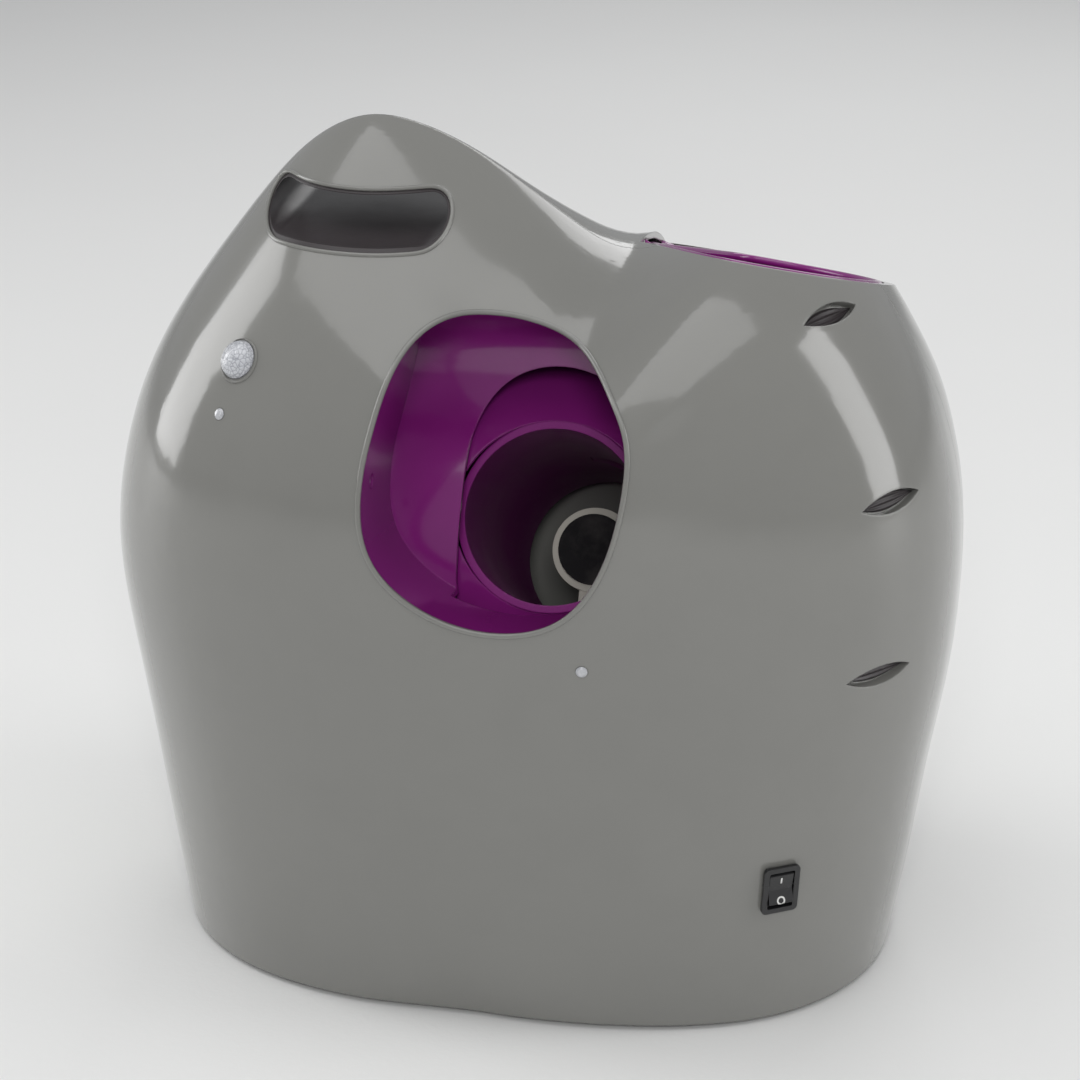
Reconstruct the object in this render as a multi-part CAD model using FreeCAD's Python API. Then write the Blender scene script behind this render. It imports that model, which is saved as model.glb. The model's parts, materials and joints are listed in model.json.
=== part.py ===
"""Automatic ball launcher for dogs, modelled as separate pieces.

Frame: millimetres, +Z up, front face towards -Y, carry handle at the -X end, ball bucket at
the +X end. The origin is on the floor, below the middle of the body.
"""
import FreeCAD, Part
import math
import os
from FreeCAD import Vector

# ---------------------------------------------------------------- driving dimensions
# casing
body_width = 340.0
body_height = 340.0
body_half_depth = 117.0
wall = 3.0
part_gap = 0.3
edge_lift = 2.5
foot_height = 6.0
base_thickness = 3.5
# ball and launch tube
ball_radius = 32.5
tube_bore_r = 34.5
tube_wall = 3.0
tube_front = 80.0
tube_rear = 70.0
tube_x = 14.5
pivot_y = 20.0
pivot_z = 158.0
launch_angle = 30.0
# portal in the front shell and its liner
portal_height = 106.0
portal_width = 99.5
liner_wall = 2.0
# handle slot
slot_length = 75.0
slot_height = 19.0
slot_x = -65.0
slot_z = 311.0
slot_liner_wall = 1.5
# ball bucket
rim_x = 38.0
rim_z = 295.0
rim_fall_deg = 6.5
rim_tilt_deg = 17.5
bucket_wall = 2.0
bucket_floor_z = 122.0
throat_step = 1.2
bucket_x = 70.0
post_clearance = 17.0
# battery pack: six round cells side by side
cell_radius = 17.0
cell_length = 61.5
cell_gap = 1.0
cell_count = 6
# striking gear
hammer_back = 35.0
hammer_drop = 62.0
hammer_head_r = 18.0
gear_thickness = 8.0
strike_module = 1.25
strike_sector_teeth = 48
strike_pinion_teeth = 12
reduction_module = 1.0
reduction_wheel_teeth = 40
motor_pinion_teeth = 10
mesh_angle = -30.0
motor_angle = 10.0
motor_radius = 12.0
motor_length = 34.0
# tilt gear
tilt_module = 1.0
tilt_sector_teeth = 120
tilt_pinion_teeth = 10
# controls
knob_radius = 21.5
knob_height = 13.0
knob_recess = 14.0
dial_radius = 21.5
dial_x = 95.0
dial_z = 160.0
switch_width = 15.0
switch_height = 21.0
switch_x = 111.0
switch_z = 66.0
sensor_x = -101.0
sensor_z = 264.0
jack_x = 100.0
jack_z = 30.0
jack_bore_r = 2.8
running = 0.05
cell_pitch = 2 * cell_radius + cell_gap
throat_bore_r = tube_bore_r - throat_step

# ---------------------------------------------------------------- outer form
# Front silhouette in the plane y = 0, counter-clockwise from below the floor.
OUTLINE = [
    (0, -130), (90, -118), (135, -62), (149, 0), (156, 45), (162, 90), (168, 130), (170, 165),
    (169, 192), (164, 220), (155, 246), (144, 266), (132, 284), (116, 299), (97, 307), (77, 306),
    (57, 298), (38, 292), (20, 298), (3, 309), (-20, 325), (-45, 337), (-67, 340), (-89, 330),
    (-111, 307), (-133, 278), (-151, 249), (-164, 214), (-170, 172), (-167, 135), (-160, 85), (-155, 45),
    (-149, 0), (-135, -62), (-90, -118),
]
OUTLINE_WIDTH = 340.0
OUTLINE_HEIGHT = 340.0
# Roundness of the skin: superellipse exponents, lower over the thin fin of the handle.
full_exponent = 2.45
fin_angle = 104.0
fin_spread = 34.0
fin_run_drop = 0.95
fin_depth_drop = 1.2
foot_drop = 0.3
foot_spread = 62.0
centre_exponent = 2.2
centre_z = 185.0 * body_height / OUTLINE_HEIGHT
skin_spokes = 60
skin_rings = 10


def roundness(angle, share):
    """Exponents of the skin in a direction; towards the middle they become alike."""
    away = (angle - fin_angle + 180.0) % 360.0 - 180.0
    fin = math.exp(-(away / fin_spread) ** 2)
    outer = min(share / 0.8, 1.0)
    outer = outer * outer * (3.0 - 2.0 * outer)
    low = math.exp(-(((angle + 270.0) % 360.0 - 180.0) / foot_spread) ** 2)
    run = full_exponent - fin_run_drop * fin - foot_drop * low
    depth = full_exponent - fin_depth_drop * fin - foot_drop * low
    run = centre_exponent + (run - centre_exponent) * outer
    return run, centre_exponent + (depth - centre_exponent) * outer


def depth_share(angle, share):
    """Depth of the skin as a share of the half depth, at a share of the way to the edge."""
    run, depth = roundness(angle, share)
    return max(1.0 - share ** run, 0.0) ** (1.0 / depth)


def outline_curve():
    """The closed silhouette at the size of the body."""
    kx = body_width / OUTLINE_WIDTH
    kz = body_height / OUTLINE_HEIGHT
    curve = Part.BSplineCurve()
    curve.interpolate(Points=[Vector(x * kx, 0, z * kz) for x, z in OUTLINE], PeriodicFlag=True)
    return curve


SILHOUETTE = outline_curve()


def skin_face(side, inset):
    """One half of the skin, from the middle of its face out to the silhouette."""
    first = SILHOUETTE.FirstParameter
    span = SILHOUETTE.LastParameter - first
    rows = []
    for i in range(skin_spokes + 1):
        edge = SILHOUETTE.value(first + span * (i % skin_spokes) / skin_spokes)
        dx = edge.x
        dz = edge.z - centre_z
        angle = math.degrees(math.atan2(dz, dx))
        keep = 1.0 - inset / math.hypot(dx, dz)
        row = []
        for j in range(skin_rings + 1):
            share = math.sin(math.radians(90.0 * j / skin_rings)) if j < skin_rings else 1.0
            deep = side * (body_half_depth - inset) * depth_share(angle, share)
            row.append(Vector(dx * keep * share, deep, centre_z + dz * keep * share))
        rows.append(row)
    surface = Part.BSplineSurface()
    surface.interpolate(rows)
    return surface.toShape()


def whole_form(inset):
    """The closed body form, taken in from the outer skin by inset."""
    shell = Part.makeShell([skin_face(-1, inset), skin_face(1, inset)])
    shell.sewShape()
    return Part.makeSolid(shell)


FORMS = {}


def form(inset, floor=None):
    """The body form above a floor height; without one it runs on below the floor."""
    if inset not in FORMS:
        FORMS[inset] = whole_form(inset)
    if floor is None:
        return FORMS[inset]
    return FORMS[inset].cut(block(-300, 300, -300, 300, floor - 400, floor))


def silhouette_radius(angle):
    """Distance from the form's centre to the silhouette in a direction, by bisection."""
    first = SILHOUETTE.FirstParameter
    span = SILHOUETTE.LastParameter - first
    ray = Vector(math.cos(angle), 0, math.sin(angle))
    side = Vector(-ray.z, 0, ray.x)
    centre = Vector(0, 0, centre_z)
    steps = 96
    before = SILHOUETTE.value(first) - centre
    for i in range(1, steps + 1):
        here = SILHOUETTE.value(first + span * i / steps) - centre
        if before.dot(side) <= 0 < here.dot(side) and here.dot(ray) > 0:
            low = first + span * (i - 1) / steps
            high = first + span * i / steps
            for _ in range(30):
                middle = 0.5 * (low + high)
                if (SILHOUETTE.value(middle) - centre).dot(side) <= 0:
                    low = middle
                else:
                    high = middle
            return (SILHOUETTE.value(low) - centre).Length
        before = here
    return before.Length


def skin_y(x, z, inset=0.0):
    """Half depth of the skin at a place on the front view."""
    dz = z - centre_z
    away = math.hypot(x, dz)
    angle = math.atan2(dz, x)
    share = min(away / (silhouette_radius(angle) - inset), 1.0)
    return (body_half_depth - inset) * depth_share(math.degrees(angle), share)


def skin_place(x, z, side):
    """Point on the skin and its outward normal; side is -1 for the front, 1 for the rear."""
    step = 1.0
    y = skin_y(x, z)
    slope_x = (skin_y(x + step, z) - skin_y(x - step, z)) / (2 * step)
    slope_z = (skin_y(x, z + step) - skin_y(x, z - step)) / (2 * step)
    normal = Vector(-slope_x, side, -slope_z)
    normal.normalize()
    return Vector(x, side * y, z), normal


# ---------------------------------------------------------------- helpers
def block(x0, x1, y0, y1, z0, z1):
    """Box between two corners."""
    return Part.makeBox(x1 - x0, y1 - y0, z1 - z0, Vector(x0, y0, z0))


def rod(radius, start, end):
    """Cylinder from start to end."""
    start = Vector(*start)
    along = Vector(*end) - start
    return Part.makeCylinder(radius, along.Length, start, along)


def rod_x(radius, x0, x1, y, z):
    """Cylinder along X."""
    return rod(radius, (x0, y, z), (x1, y, z))


def fuse(shapes):
    """One solid from several that touch."""
    whole = shapes[0].fuse(shapes[1:])
    return whole.removeSplitter()


def with_each(shape, pieces):
    """Add pieces to a shape one after another."""
    for piece in pieces:
        shape = shape.fuse(piece)
    return shape


def without_each(shape, cutters):
    """Take cutters out of a shape one after another."""
    for cutter in cutters:
        shape = shape.cut(cutter)
    return shape


def turned(profile):
    """Solid of revolution about Z from (radius, height) points."""
    points = [Vector(r, 0, z) for r, z in profile]
    face = Part.Face(Part.makePolygon(points + [points[0]]))
    return face.revolve(Vector(0, 0, 0), Vector(0, 0, 1), 360)


def aimed(shape, point, axis, up=Vector(0, 0, 1)):
    """Move a shape built about Z so that its Z is the axis and its Y leans towards up."""
    z_axis = Vector(axis)
    z_axis.normalize()
    x_axis = Vector(up).cross(z_axis)
    x_axis.normalize()
    y_axis = z_axis.cross(x_axis)
    matrix = FreeCAD.Matrix(
        x_axis.x, y_axis.x, z_axis.x, point.x,
        x_axis.y, y_axis.y, z_axis.y, point.y,
        x_axis.z, y_axis.z, z_axis.z, point.z,
        0, 0, 0, 1,
    )
    return placed(shape, matrix)


def placed(shape, matrix):
    """Copy of a shape at a rigid placement."""
    copy = shape.copy()
    copy.Placement = FreeCAD.Placement(matrix).multiply(copy.Placement)
    return copy


def rounded_rectangle(width, height, radius, z=0.0):
    """Closed wire about the origin in a plane of constant Z."""
    w = width / 2.0
    h = height / 2.0
    corners = [(w - radius, h - radius, 0), (radius - w, h - radius, 90),
               (radius - w, radius - h, 180), (w - radius, radius - h, 270)]
    edges = []
    last = None
    first = None
    for x, y, turn in corners:
        centre = Vector(x, y, z)
        points = []
        for degrees in (turn, turn + 45, turn + 90):
            angle = math.radians(degrees)
            points.append(centre + Vector(math.cos(angle), math.sin(angle), 0) * radius)
        if last is not None and (points[0] - last).Length > 1e-6:
            edges.append(Part.LineSegment(last, points[0]).toShape())
        first = first or points[0]
        edges.append(Part.Arc(*points).toShape())
        last = points[2]
    if (first - last).Length > 1e-6:
        edges.append(Part.LineSegment(last, first).toShape())
    return Part.Wire(edges)


def slab(wire, along):
    """Solid swept straight from a closed wire."""
    return Part.Face(wire).extrude(along)


def tube_point(s, h, x=None):
    """World point from a distance s along the launch tube and a height h square to it."""
    angle = math.radians(launch_angle)
    y = pivot_y - s * math.cos(angle) + h * math.sin(angle)
    z = pivot_z + s * math.sin(angle) + h * math.cos(angle)
    return Vector(tube_x if x is None else x, y, z)


TUBE_AXIS = Vector(0, -math.cos(math.radians(launch_angle)), math.sin(math.radians(launch_angle)))


def side_slab(points, radius, x0, x1):
    """Plate square to X with rounded corners, from points in the tube's (s, h) plane."""
    corners = [tube_point(s, h, x0) for s, h in points]
    wire = Part.makePolygon(corners + [corners[0]])
    if radius:
        wire = wire.makeOffset2D(radius, 0, False, False, False)
    return slab(wire, Vector(x1 - x0, 0, 0))


# ---------------------------------------------------------------- gears
pressure_angle = 25.0
addendum_share = 0.85
dedendum_share = 1.2
backlash = 0.3


def involute_half_angle(radius, pitch_r, base_r, teeth):
    """Half the angle that a tooth takes up at a radius."""
    thickness = math.pi * pitch_r / teeth - backlash
    pitch_half = thickness / 2.0 / pitch_r
    pressure = math.radians(pressure_angle)
    start = math.tan(pressure) - pressure
    if radius <= base_r:
        return pitch_half + start
    here = math.acos(base_r / radius)
    return pitch_half + start - (math.tan(here) - here)


def gear_wire(teeth, module, turn, first=0, count=None):
    """Outline of a spur gear about the origin; a sector keeps count teeth from first on."""
    pitch_r = module * teeth / 2.0
    base_r = pitch_r * math.cos(math.radians(pressure_angle))
    tip_r = pitch_r + addendum_share * module
    root_r = pitch_r - dedendum_share * module
    low_r = max(base_r, root_r)
    radii = [low_r, (2 * low_r + tip_r) / 3.0, (low_r + 2 * tip_r) / 3.0, tip_r]
    step = 2 * math.pi / teeth
    total = count or teeth
    edges = []
    previous = None
    start = None

    def at(radius, angle):
        return Vector(radius * math.cos(angle), radius * math.sin(angle), 0)

    def line(a, b):
        if (a - b).Length > 1e-6:
            edges.append(Part.LineSegment(a, b).toShape())

    for k in range(first, first + total):
        middle = turn + k * step
        up = [at(r, middle - involute_half_angle(r, pitch_r, base_r, teeth)) for r in radii]
        down = [at(r, middle + involute_half_angle(r, pitch_r, base_r, teeth)) for r in reversed(radii)]
        root_in = at(root_r, middle - involute_half_angle(low_r, pitch_r, base_r, teeth))
        root_out = at(root_r, middle + involute_half_angle(low_r, pitch_r, base_r, teeth))
        if previous is not None:
            line(previous, root_in)
        else:
            start = root_in
        line(root_in, up[0])
        rise = Part.BSplineCurve()
        rise.interpolate(up)
        edges.append(rise.toShape())
        line(up[-1], down[0])
        fall = Part.BSplineCurve()
        fall.interpolate(down)
        edges.append(fall.toShape())
        line(down[-1], root_out)
        previous = root_out
    if count:
        line(previous, Vector(0, 0, 0))
        line(Vector(0, 0, 0), start)
    else:
        line(previous, start)
    return Part.Wire(edges)


def gear_x(teeth, module, x0, x1, y, z, turn, first=0, count=None):
    """Gear about an axis along X; turn is the angle of tooth 0, from +Y towards +Z."""
    blank = slab(gear_wire(teeth, module, turn, first, count), Vector(0, 0, x1 - x0))
    matrix = FreeCAD.Matrix(
        0, 0, 1, x0,
        1, 0, 0, y,
        0, 1, 0, z,
        0, 0, 0, 1,
    )
    return placed(blank, matrix)


def mesh_turn(teeth, direction, other_teeth, other_turn):
    """Turn of a gear that meshes with another, seen from it in a direction (radians)."""
    other_step = 2 * math.pi / other_teeth
    offset = (direction - other_turn) / other_step
    step = 2 * math.pi / teeth
    return direction + math.pi + step / 2.0 + offset * step


# ---------------------------------------------------------------- writing
def save(name, shape):
    """Write one piece, or a group of like pieces, as a STEP file."""
    os.makedirs("parts", exist_ok=True)
    shape.exportStep(os.path.join("parts", name + ".step"))


# ---------------------------------------------------------------- casing
def egg_wire(y, grow=0.0, scale=1.0, shift_x=0.0, shift_z=0.0):
    """Outline of the launch portal: narrower at the top, fuller at the lower right."""
    kx = portal_width / 99.5
    kz = portal_height / 106.0
    points = [(-13, 283.5), (-34, 276), (-43, 252), (-47, 225), (-43, 203), (-26, 186), (5, 177.5),
              (30, 184.5), (45, 205), (52, 233), (50.5, 256), (34, 271.5), (11, 280)]
    middle = Vector(0, y, 228)
    placed_points = []
    for x, z in points:
        out = Vector(x * kx, 0, (z - 228) * kz)
        out = out * (scale + grow / out.Length)
        placed_points.append(middle + out + Vector(shift_x, 0, shift_z))
    curve = Part.BSplineCurve()
    curve.interpolate(Points=placed_points, PeriodicFlag=True)
    return Part.Wire(curve.toShape())


def pill_wire(length, height, x, z, y):
    """Upright pill outline square to Y."""
    wire = rounded_rectangle(length, height, height / 2.0 - 0.01)
    matrix = FreeCAD.Matrix(1, 0, 0, x, 0, 0, -1, y, 0, 1, 0, z, 0, 0, 0, 1)
    return placed(wire, matrix)


def above_rim(drop=0.0):
    """Everything over the sloping mouth of the bucket."""
    reach = 260.0
    cutter = block(0, reach, -reach, reach, -drop, reach)
    cutter.rotate(Vector(0, 0, 0), Vector(0, 1, 0), rim_fall_deg)
    cutter.rotate(Vector(0, 0, 0), Vector(1, 0, 0), -rim_tilt_deg)
    cutter.translate(Vector(rim_x * body_width / OUTLINE_WIDTH, 0, rim_z * body_height / OUTLINE_HEIGHT))
    return cutter


scoop_length = 32.0
scoop_height = 8.0
scoop_depth = 4.5
SCOOPS = [(145.0, 153.0), (146.0, 221.0), (119.0, 287.0)]


def scoop_cutter(x, z, side):
    """Lens-shaped scoop pressed into a corner of the bucket end."""
    point, normal = skin_place(x, z, side)
    half = scoop_length / 2.0
    sag = scoop_height / 2.0
    upper = Part.Arc(Vector(-half, 0, 0), Vector(0, sag, 0), Vector(half, 0, 0)).toShape()
    lower = Part.Arc(Vector(half, 0, 0), Vector(0, -sag, 0), Vector(-half, 0, 0)).toShape()
    lens = slab(Part.Wire([upper, lower]), Vector(0, 0, 2 * scoop_depth + 8))
    lens.translate(Vector(0, 0, -scoop_depth))
    return aimed(lens, point, normal)


def scoop_cup(x, z, side, grow=0.0):
    """Closed pocket behind a scoop, so that the casing has no way in there."""
    point, normal = skin_place(x, z, side)
    half = scoop_length / 2.0 + 2.5 + grow
    sag = scoop_height / 2.0 + 2.5 + grow
    upper = Part.Arc(Vector(-half, 0, 0), Vector(0, sag, 0), Vector(half, 0, 0)).toShape()
    lower = Part.Arc(Vector(half, 0, 0), Vector(0, -sag, 0), Vector(-half, 0, 0)).toShape()
    lens = slab(Part.Wire([upper, lower]), Vector(0, 0, scoop_depth + 2.0 + grow))
    lens.translate(Vector(0, 0, -scoop_depth - 2.0 - grow))
    return aimed(lens, point, normal)


BOSSES = [(0.0, -1), (0.0, 1), (-118.0, -1), (118.0, -1), (-118.0, 1), (118.0, 1)]
boss_radius = 5.0
boss_skin_gap = 1.4
screw_radius = 1.5


def boss_place(x, side):
    """Centre of a screw boss just inside the wall."""
    point, normal = skin_place(x * body_width / OUTLINE_WIDTH, 15.0, side)
    inwards = Vector(normal.x, normal.y, 0).normalize() * (wall + boss_radius + boss_skin_gap)
    return point.x - inwards.x, point.y - inwards.y


def boss_web(x, side):
    """Rib between a screw boss and the wall."""
    _, normal = skin_place(x * body_width / OUTLINE_WIDTH, 15.0, side)
    bx, by = boss_place(x, side)
    web = block(0, boss_radius + wall + 3, -1.5, 1.5, foot_height + base_thickness, 30)
    web.rotate(Vector(0, 0, 0), Vector(0, 0, 1), math.degrees(math.atan2(normal.y, normal.x)))
    web.translate(Vector(bx, by, 0))
    return web


def knob_centre():
    """Axis of the angle knob: below the tube's pivot, on the middle plane."""
    reach = tilt_module * (tilt_sector_teeth + tilt_pinion_teeth) / 2.0
    return 0.0, pivot_z - math.sqrt(reach ** 2 - pivot_y ** 2)


def end_x(z):
    """X of the handle end of the body at a height, on the middle plane."""
    low = 0.0
    high = body_width
    for _ in range(40):
        middle = 0.5 * (low + high)
        dz = z - centre_z
        inside = math.hypot(middle, dz) < silhouette_radius(math.atan2(dz, -middle))
        if inside:
            low = middle
        else:
            high = middle
    return -low


def half_space(side):
    """Everything on one side of the parting plane."""
    return block(-300, 300, min(0, side * 200), max(0, side * 200), -10, 500)


def shell_additions(side, outer):
    """Screw bosses with their webs, scoop pockets and the cup for the angle knob."""
    floor = foot_height + base_thickness
    pieces = []
    for x, boss_side in BOSSES:
        if boss_side == side:
            bx, by = boss_place(x, side)
            pieces.append(rod(boss_radius, (bx, by, floor), (bx, by, 34)))
            pieces.append(boss_web(x, side))
    pieces += [scoop_cup(x, z, side) for x, z in SCOOPS]
    ky, kz = knob_centre()
    recess_floor = end_x(kz) + knob_recess
    cup = rod_x(knob_radius + 5.0, recess_floor - 40, recess_floor + wall, ky, kz)
    pieces.append(cup.common(half_space(side)))
    return [piece.common(outer) for piece in pieces]


def shell_cutters(side):
    """Everything cut through one shell."""
    ky, kz = knob_centre()
    recess_floor = end_x(kz) + knob_recess
    cuts = [above_rim()]
    if side < 0:
        cuts.append(slab(egg_wire(-140), Vector(0, 120, 0)))
    cuts.append(slab(pill_wire(slot_length, slot_height, slot_x, slot_z, -120), Vector(0, 240, 0)))
    cuts += [scoop_cutter(x, z, side) for x, z in SCOOPS]
    cuts.append(rod_x(knob_radius + 2.0, recess_floor - 60, recess_floor, ky, kz))
    cuts.append(rod_x(bush_radius + running, recess_floor - 5, recess_floor + wall + 5, ky, kz))
    for x, boss_side in BOSSES:
        if boss_side == side:
            bx, by = boss_place(x, side)
            cuts.append(rod(screw_radius, (bx, by, 0), (bx, by, 28)))
    cuts += sensor_holes(side)
    cuts += [switch_hole()] if side < 0 else [dial_hole(), jack_hole()]
    return cuts


def make_shells():
    """Front and rear casing halves with every opening."""
    outer = form(0.0, edge_lift)
    casing = outer.cut(form(wall))
    for name, side in (("front_shell", -1), ("rear_shell", 1)):
        half = casing.common(half_space(side))
        half = with_each(half, shell_additions(side, outer))
        half = without_each(half, shell_cutters(side))
        save(name, half)


# ---------------------------------------------------------------- sensors and lamps
lens_radius = 7.5
lamp_radius = 2.2


def sensor_holes(side):
    """Round holes for the motion sensor lens and, in the front, for the two lamps."""
    point, normal = skin_place(sensor_x, sensor_z, side)
    holes = [rod(lens_radius + running, point - normal * 8, point + normal * 8)]
    if side < 0:
        for x, z in LAMPS:
            point, normal = skin_place(x, z, side)
            holes.append(rod(lamp_radius + running, point - normal * 8, point + normal * 8))
    return holes


LAMPS = [(-106.5, 245.0), (38.0, 165.0)]


def make_sensors():
    """Domed motion sensor lenses, lamps and the beam sensor of the portal."""
    flange = lens_radius + 2.5
    seat = -wall - 0.9
    profile = [(0.01, seat - 1.5), (flange, seat - 1.5), (flange, seat), (lens_radius, seat),
               (lens_radius, 0.3), (6.6, 2.2), (4.8, 3.7), (2.5, 4.6), (0.01, 4.9)]
    profile = [(0.0, profile[0][1])] + profile[1:-1] + [(0.0, profile[-1][1])]
    for name, side in (("front_sensor_lens", -1), ("rear_sensor_lens", 1)):
        point, normal = skin_place(sensor_x, sensor_z, side)
        save(name, aimed(turned(profile), point, normal))
    lamp = [(0.0, -9.0), (lamp_radius, -9.0), (lamp_radius, 0.2), (1.4, 1.0), (0.0, 1.3)]
    for name, (x, z) in zip(("ready_lamp", "status_lamp"), LAMPS):
        point, normal = skin_place(x, z, -1)
        save(name, aimed(turned(lamp), point, normal))


# ---------------------------------------------------------------- portal liner
bowl_blend = 30.0
bowl_back_y = -26.0
bowl_top_z = 284.0


def bowl_back(grow):
    """Everything behind the bowl: a drum that clears the tube's mouth, blended up to the roof."""
    drum = tube_swing() + 1.5 + grow
    blend = bowl_blend - grow
    cy = bowl_back_y - bowl_blend
    reach = tube_swing() + 1.5 + bowl_blend
    cz = pivot_z + math.sqrt(reach ** 2 - (cy - pivot_y) ** 2)
    top = max(bowl_top_z - bowl_blend, cz + 1.0)
    lean = math.atan2(cz - pivot_z, pivot_y - cy)

    def arc(radius, y, z, first, last):
        points = [Vector(-150, y - radius * math.cos(a), z + radius * math.sin(a))
                  for a in (first, 0.5 * (first + last), last)]
        return Part.Arc(*points).toShape(), points[0], points[2]

    low, start, foot = arc(drum, pivot_y, pivot_z, -1.2, lean)
    up = [Vector(-150, cy + blend * math.cos(a), cz - blend * math.sin(a)) for a in (lean, 0.5 * lean, 0.0)]
    rise = Part.Arc(*up).toShape()
    over = [Vector(-150, cy + blend * math.cos(a), top + blend * math.sin(a))
            for a in (0.0, math.pi / 4, math.pi / 2)]
    roof = Part.Arc(*over).toShape()
    wall_line = Part.LineSegment(up[2], over[0]).toShape()
    corners = [over[2], Vector(-150, cy, 420), Vector(-150, 220, 420), Vector(-150, 220, start.z), start]
    sides = [Part.LineSegment(a, b).toShape() for a, b in zip(corners, corners[1:])]
    return slab(Part.Wire([low, rise, wall_line, roof] + sides), Vector(300, 0, 0))


def tube_swing():
    """Radius about the tilt axis that the tube's mouth sweeps."""
    return math.hypot(tube_front, tube_bore_r + tube_wall)


def liner_loft(grow):
    """Funnel behind the portal, opening out inwards."""
    wires = [egg_wire(-body_half_depth - 8, grow), egg_wire(-62, grow, 1.1, 4, -5),
             egg_wire(10 + grow, grow, 1.1, 4, -5)]
    return Part.makeLoft(wires, True, True)


def make_portal_liner():
    """Deep coloured bowl between the portal and the tube, with a tall slot for the tube."""
    inset = wall + part_gap
    outer = liner_loft(liner_wall + 0.8).common(form(inset))
    outer = outer.cut(bowl_back(0.0))
    cavity = liner_loft(0.8).cut(bowl_back(liner_wall))
    liner = outer.cut(cavity)
    low = tube_point(tube_front, 0)
    slot_low = low.z - 52
    slot_high = low.z + 54
    reach = tube_bore_r - 0.5
    slot = rounded_rectangle(2 * reach, slot_high - slot_low, reach - 0.1)
    matrix = FreeCAD.Matrix(1, 0, 0, tube_x, 0, 0, -1, 60, 0, 1, 0, (slot_low + slot_high) / 2, 0, 0, 0, 1)
    liner = liner.cut(placed(slab(slot, Vector(0, 0, 140)), matrix))
    for x in beam_x:
        liner = liner.cut(rod_x(beam_radius + running, x - 14, x + 14, beam_y, beam_z))
    solids = sorted(liner.Solids, key=lambda s: s.Volume)
    save("portal_liner", solids[-1])


beam_x = (-51.0, 58.0)
beam_y = -84.0
beam_z = 222.0
beam_radius = 3.0


def make_beam_sensors():
    """Emitter and receiver of the safety beam across the portal."""
    left = rod_x(beam_radius, beam_x[0] - 12, beam_x[0] + 1.5, beam_y, beam_z)
    right = rod_x(beam_radius, beam_x[1] - 1.5, beam_x[1] + 12, beam_y, beam_z)
    save("beam_sensors", Part.makeCompound([left, right]))


# ---------------------------------------------------------------- handle
def make_handle_liner():
    """Sleeve that lines the hand slot from the front skin to the rear skin."""
    length = slot_length - 2 * part_gap
    height = slot_height - 2 * part_gap
    outer = slab(pill_wire(length, height, slot_x, slot_z, -120), Vector(0, 240, 0))
    thick = 2 * slot_liner_wall
    inner = slab(pill_wire(length - thick, height - thick, slot_x, slot_z, -121), Vector(0, 242, 0))
    sleeve = outer.common(form(0.6)).cut(inner)
    save("handle_liner", sleeve)


# ---------------------------------------------------------------- bucket
def bucket_envelope(inset):
    """Space of the bucket: wide at the mouth, upright below, round-cornered."""
    kx = body_width / OUTLINE_WIDTH
    sections = [
        (330.0, 12.0, 190.0 * kx, -110.0, 110.0),
        (288.0, 43.0, 168.0 * kx, -72.0, 100.0),
        (258.0, 68.0, 156.0 * kx, -44.0, 96.0),
        (232.0, 70.0, 150.0 * kx, -26.0, 60.0),
        (bucket_floor_z, 70.0, 147.0 * kx, -19.0, 59.0),
    ]
    wires = []
    for z, x0, x1, y0, y1 in sections:
        low = inset if z == bucket_floor_z else 0.0
        wire = rounded_rectangle(x1 - x0 - 2 * inset, y1 - y0 - 2 * inset, 18.0 - inset, z + low)
        wire.translate(Vector((x0 + x1) / 2, (y0 + y1) / 2, 0))
        wires.append(wire)
    return Part.makeLoft(wires, True, True)


def make_bucket():
    """Hopper for the balls with a round throat that carries the tube's right side."""
    inset = wall + part_gap
    outer = bucket_envelope(0.0).common(form(inset))
    inner = bucket_envelope(bucket_wall).common(form(inset + bucket_wall))
    hopper = outer.cut(inner).cut(above_rim(1.0))
    spigot = rod_x(tube_bore_r + 0.45, bucket_x - 6.5, bucket_x + bucket_wall, pivot_y, pivot_z)
    posts = [rod(post_radius, (x, y, foot_height + base_thickness), (x, y, bucket_floor_z + 1.0))
             for x, y in bucket_posts()]
    hopper = fuse([hopper, spigot] + posts)
    hopper = hopper.cut(rod_x(throat_bore_r, bucket_x - 10, bucket_x + 12, pivot_y, pivot_z))
    hopper = hopper.cut(rod(gate_pin_r + 0.02, (gate_x, -30, gate_z), (gate_x, 70, gate_z)))
    hopper = without_each(hopper, [scoop_cup(x, z, side, part_gap) for x, z in SCOOPS for side in (-1, 1)])
    save("ball_bucket", hopper)


post_radius = 5.0
post_skin_gap = 27.0


def bucket_posts():
    """Places of the posts under the bucket, beside the battery pack and inside the skin."""
    x = cell_pitch * cell_count / 2.0 + post_clearance
    y = skin_y(x + post_radius, 60.0, wall) - post_radius - post_skin_gap
    return [(x, -4.0), (x, y)]


gate_x = 77.0
gate_z = 201.0
gate_pin_r = 1.5


def make_gate():
    """Hanging flap that lets one ball at a time into the throat, and its pin."""
    knuckle = rod(3.2, (gate_x, -8, gate_z), (gate_x, 48, gate_z))
    leaf = block(gate_x - 1.2, gate_x + 1.2, -6, 46, gate_z - 36, gate_z)
    lip = rod(2.0, (gate_x, -6, gate_z - 36), (gate_x, 46, gate_z - 36))
    gate = fuse([knuckle, leaf, lip])
    gate = gate.cut(rod(gate_pin_r + running, (gate_x, -10, gate_z), (gate_x, 50, gate_z)))
    save("ball_gate", gate)
    save("gate_pin", rod(gate_pin_r, (gate_x, -20, gate_z), (gate_x, 60, gate_z)))


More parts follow.
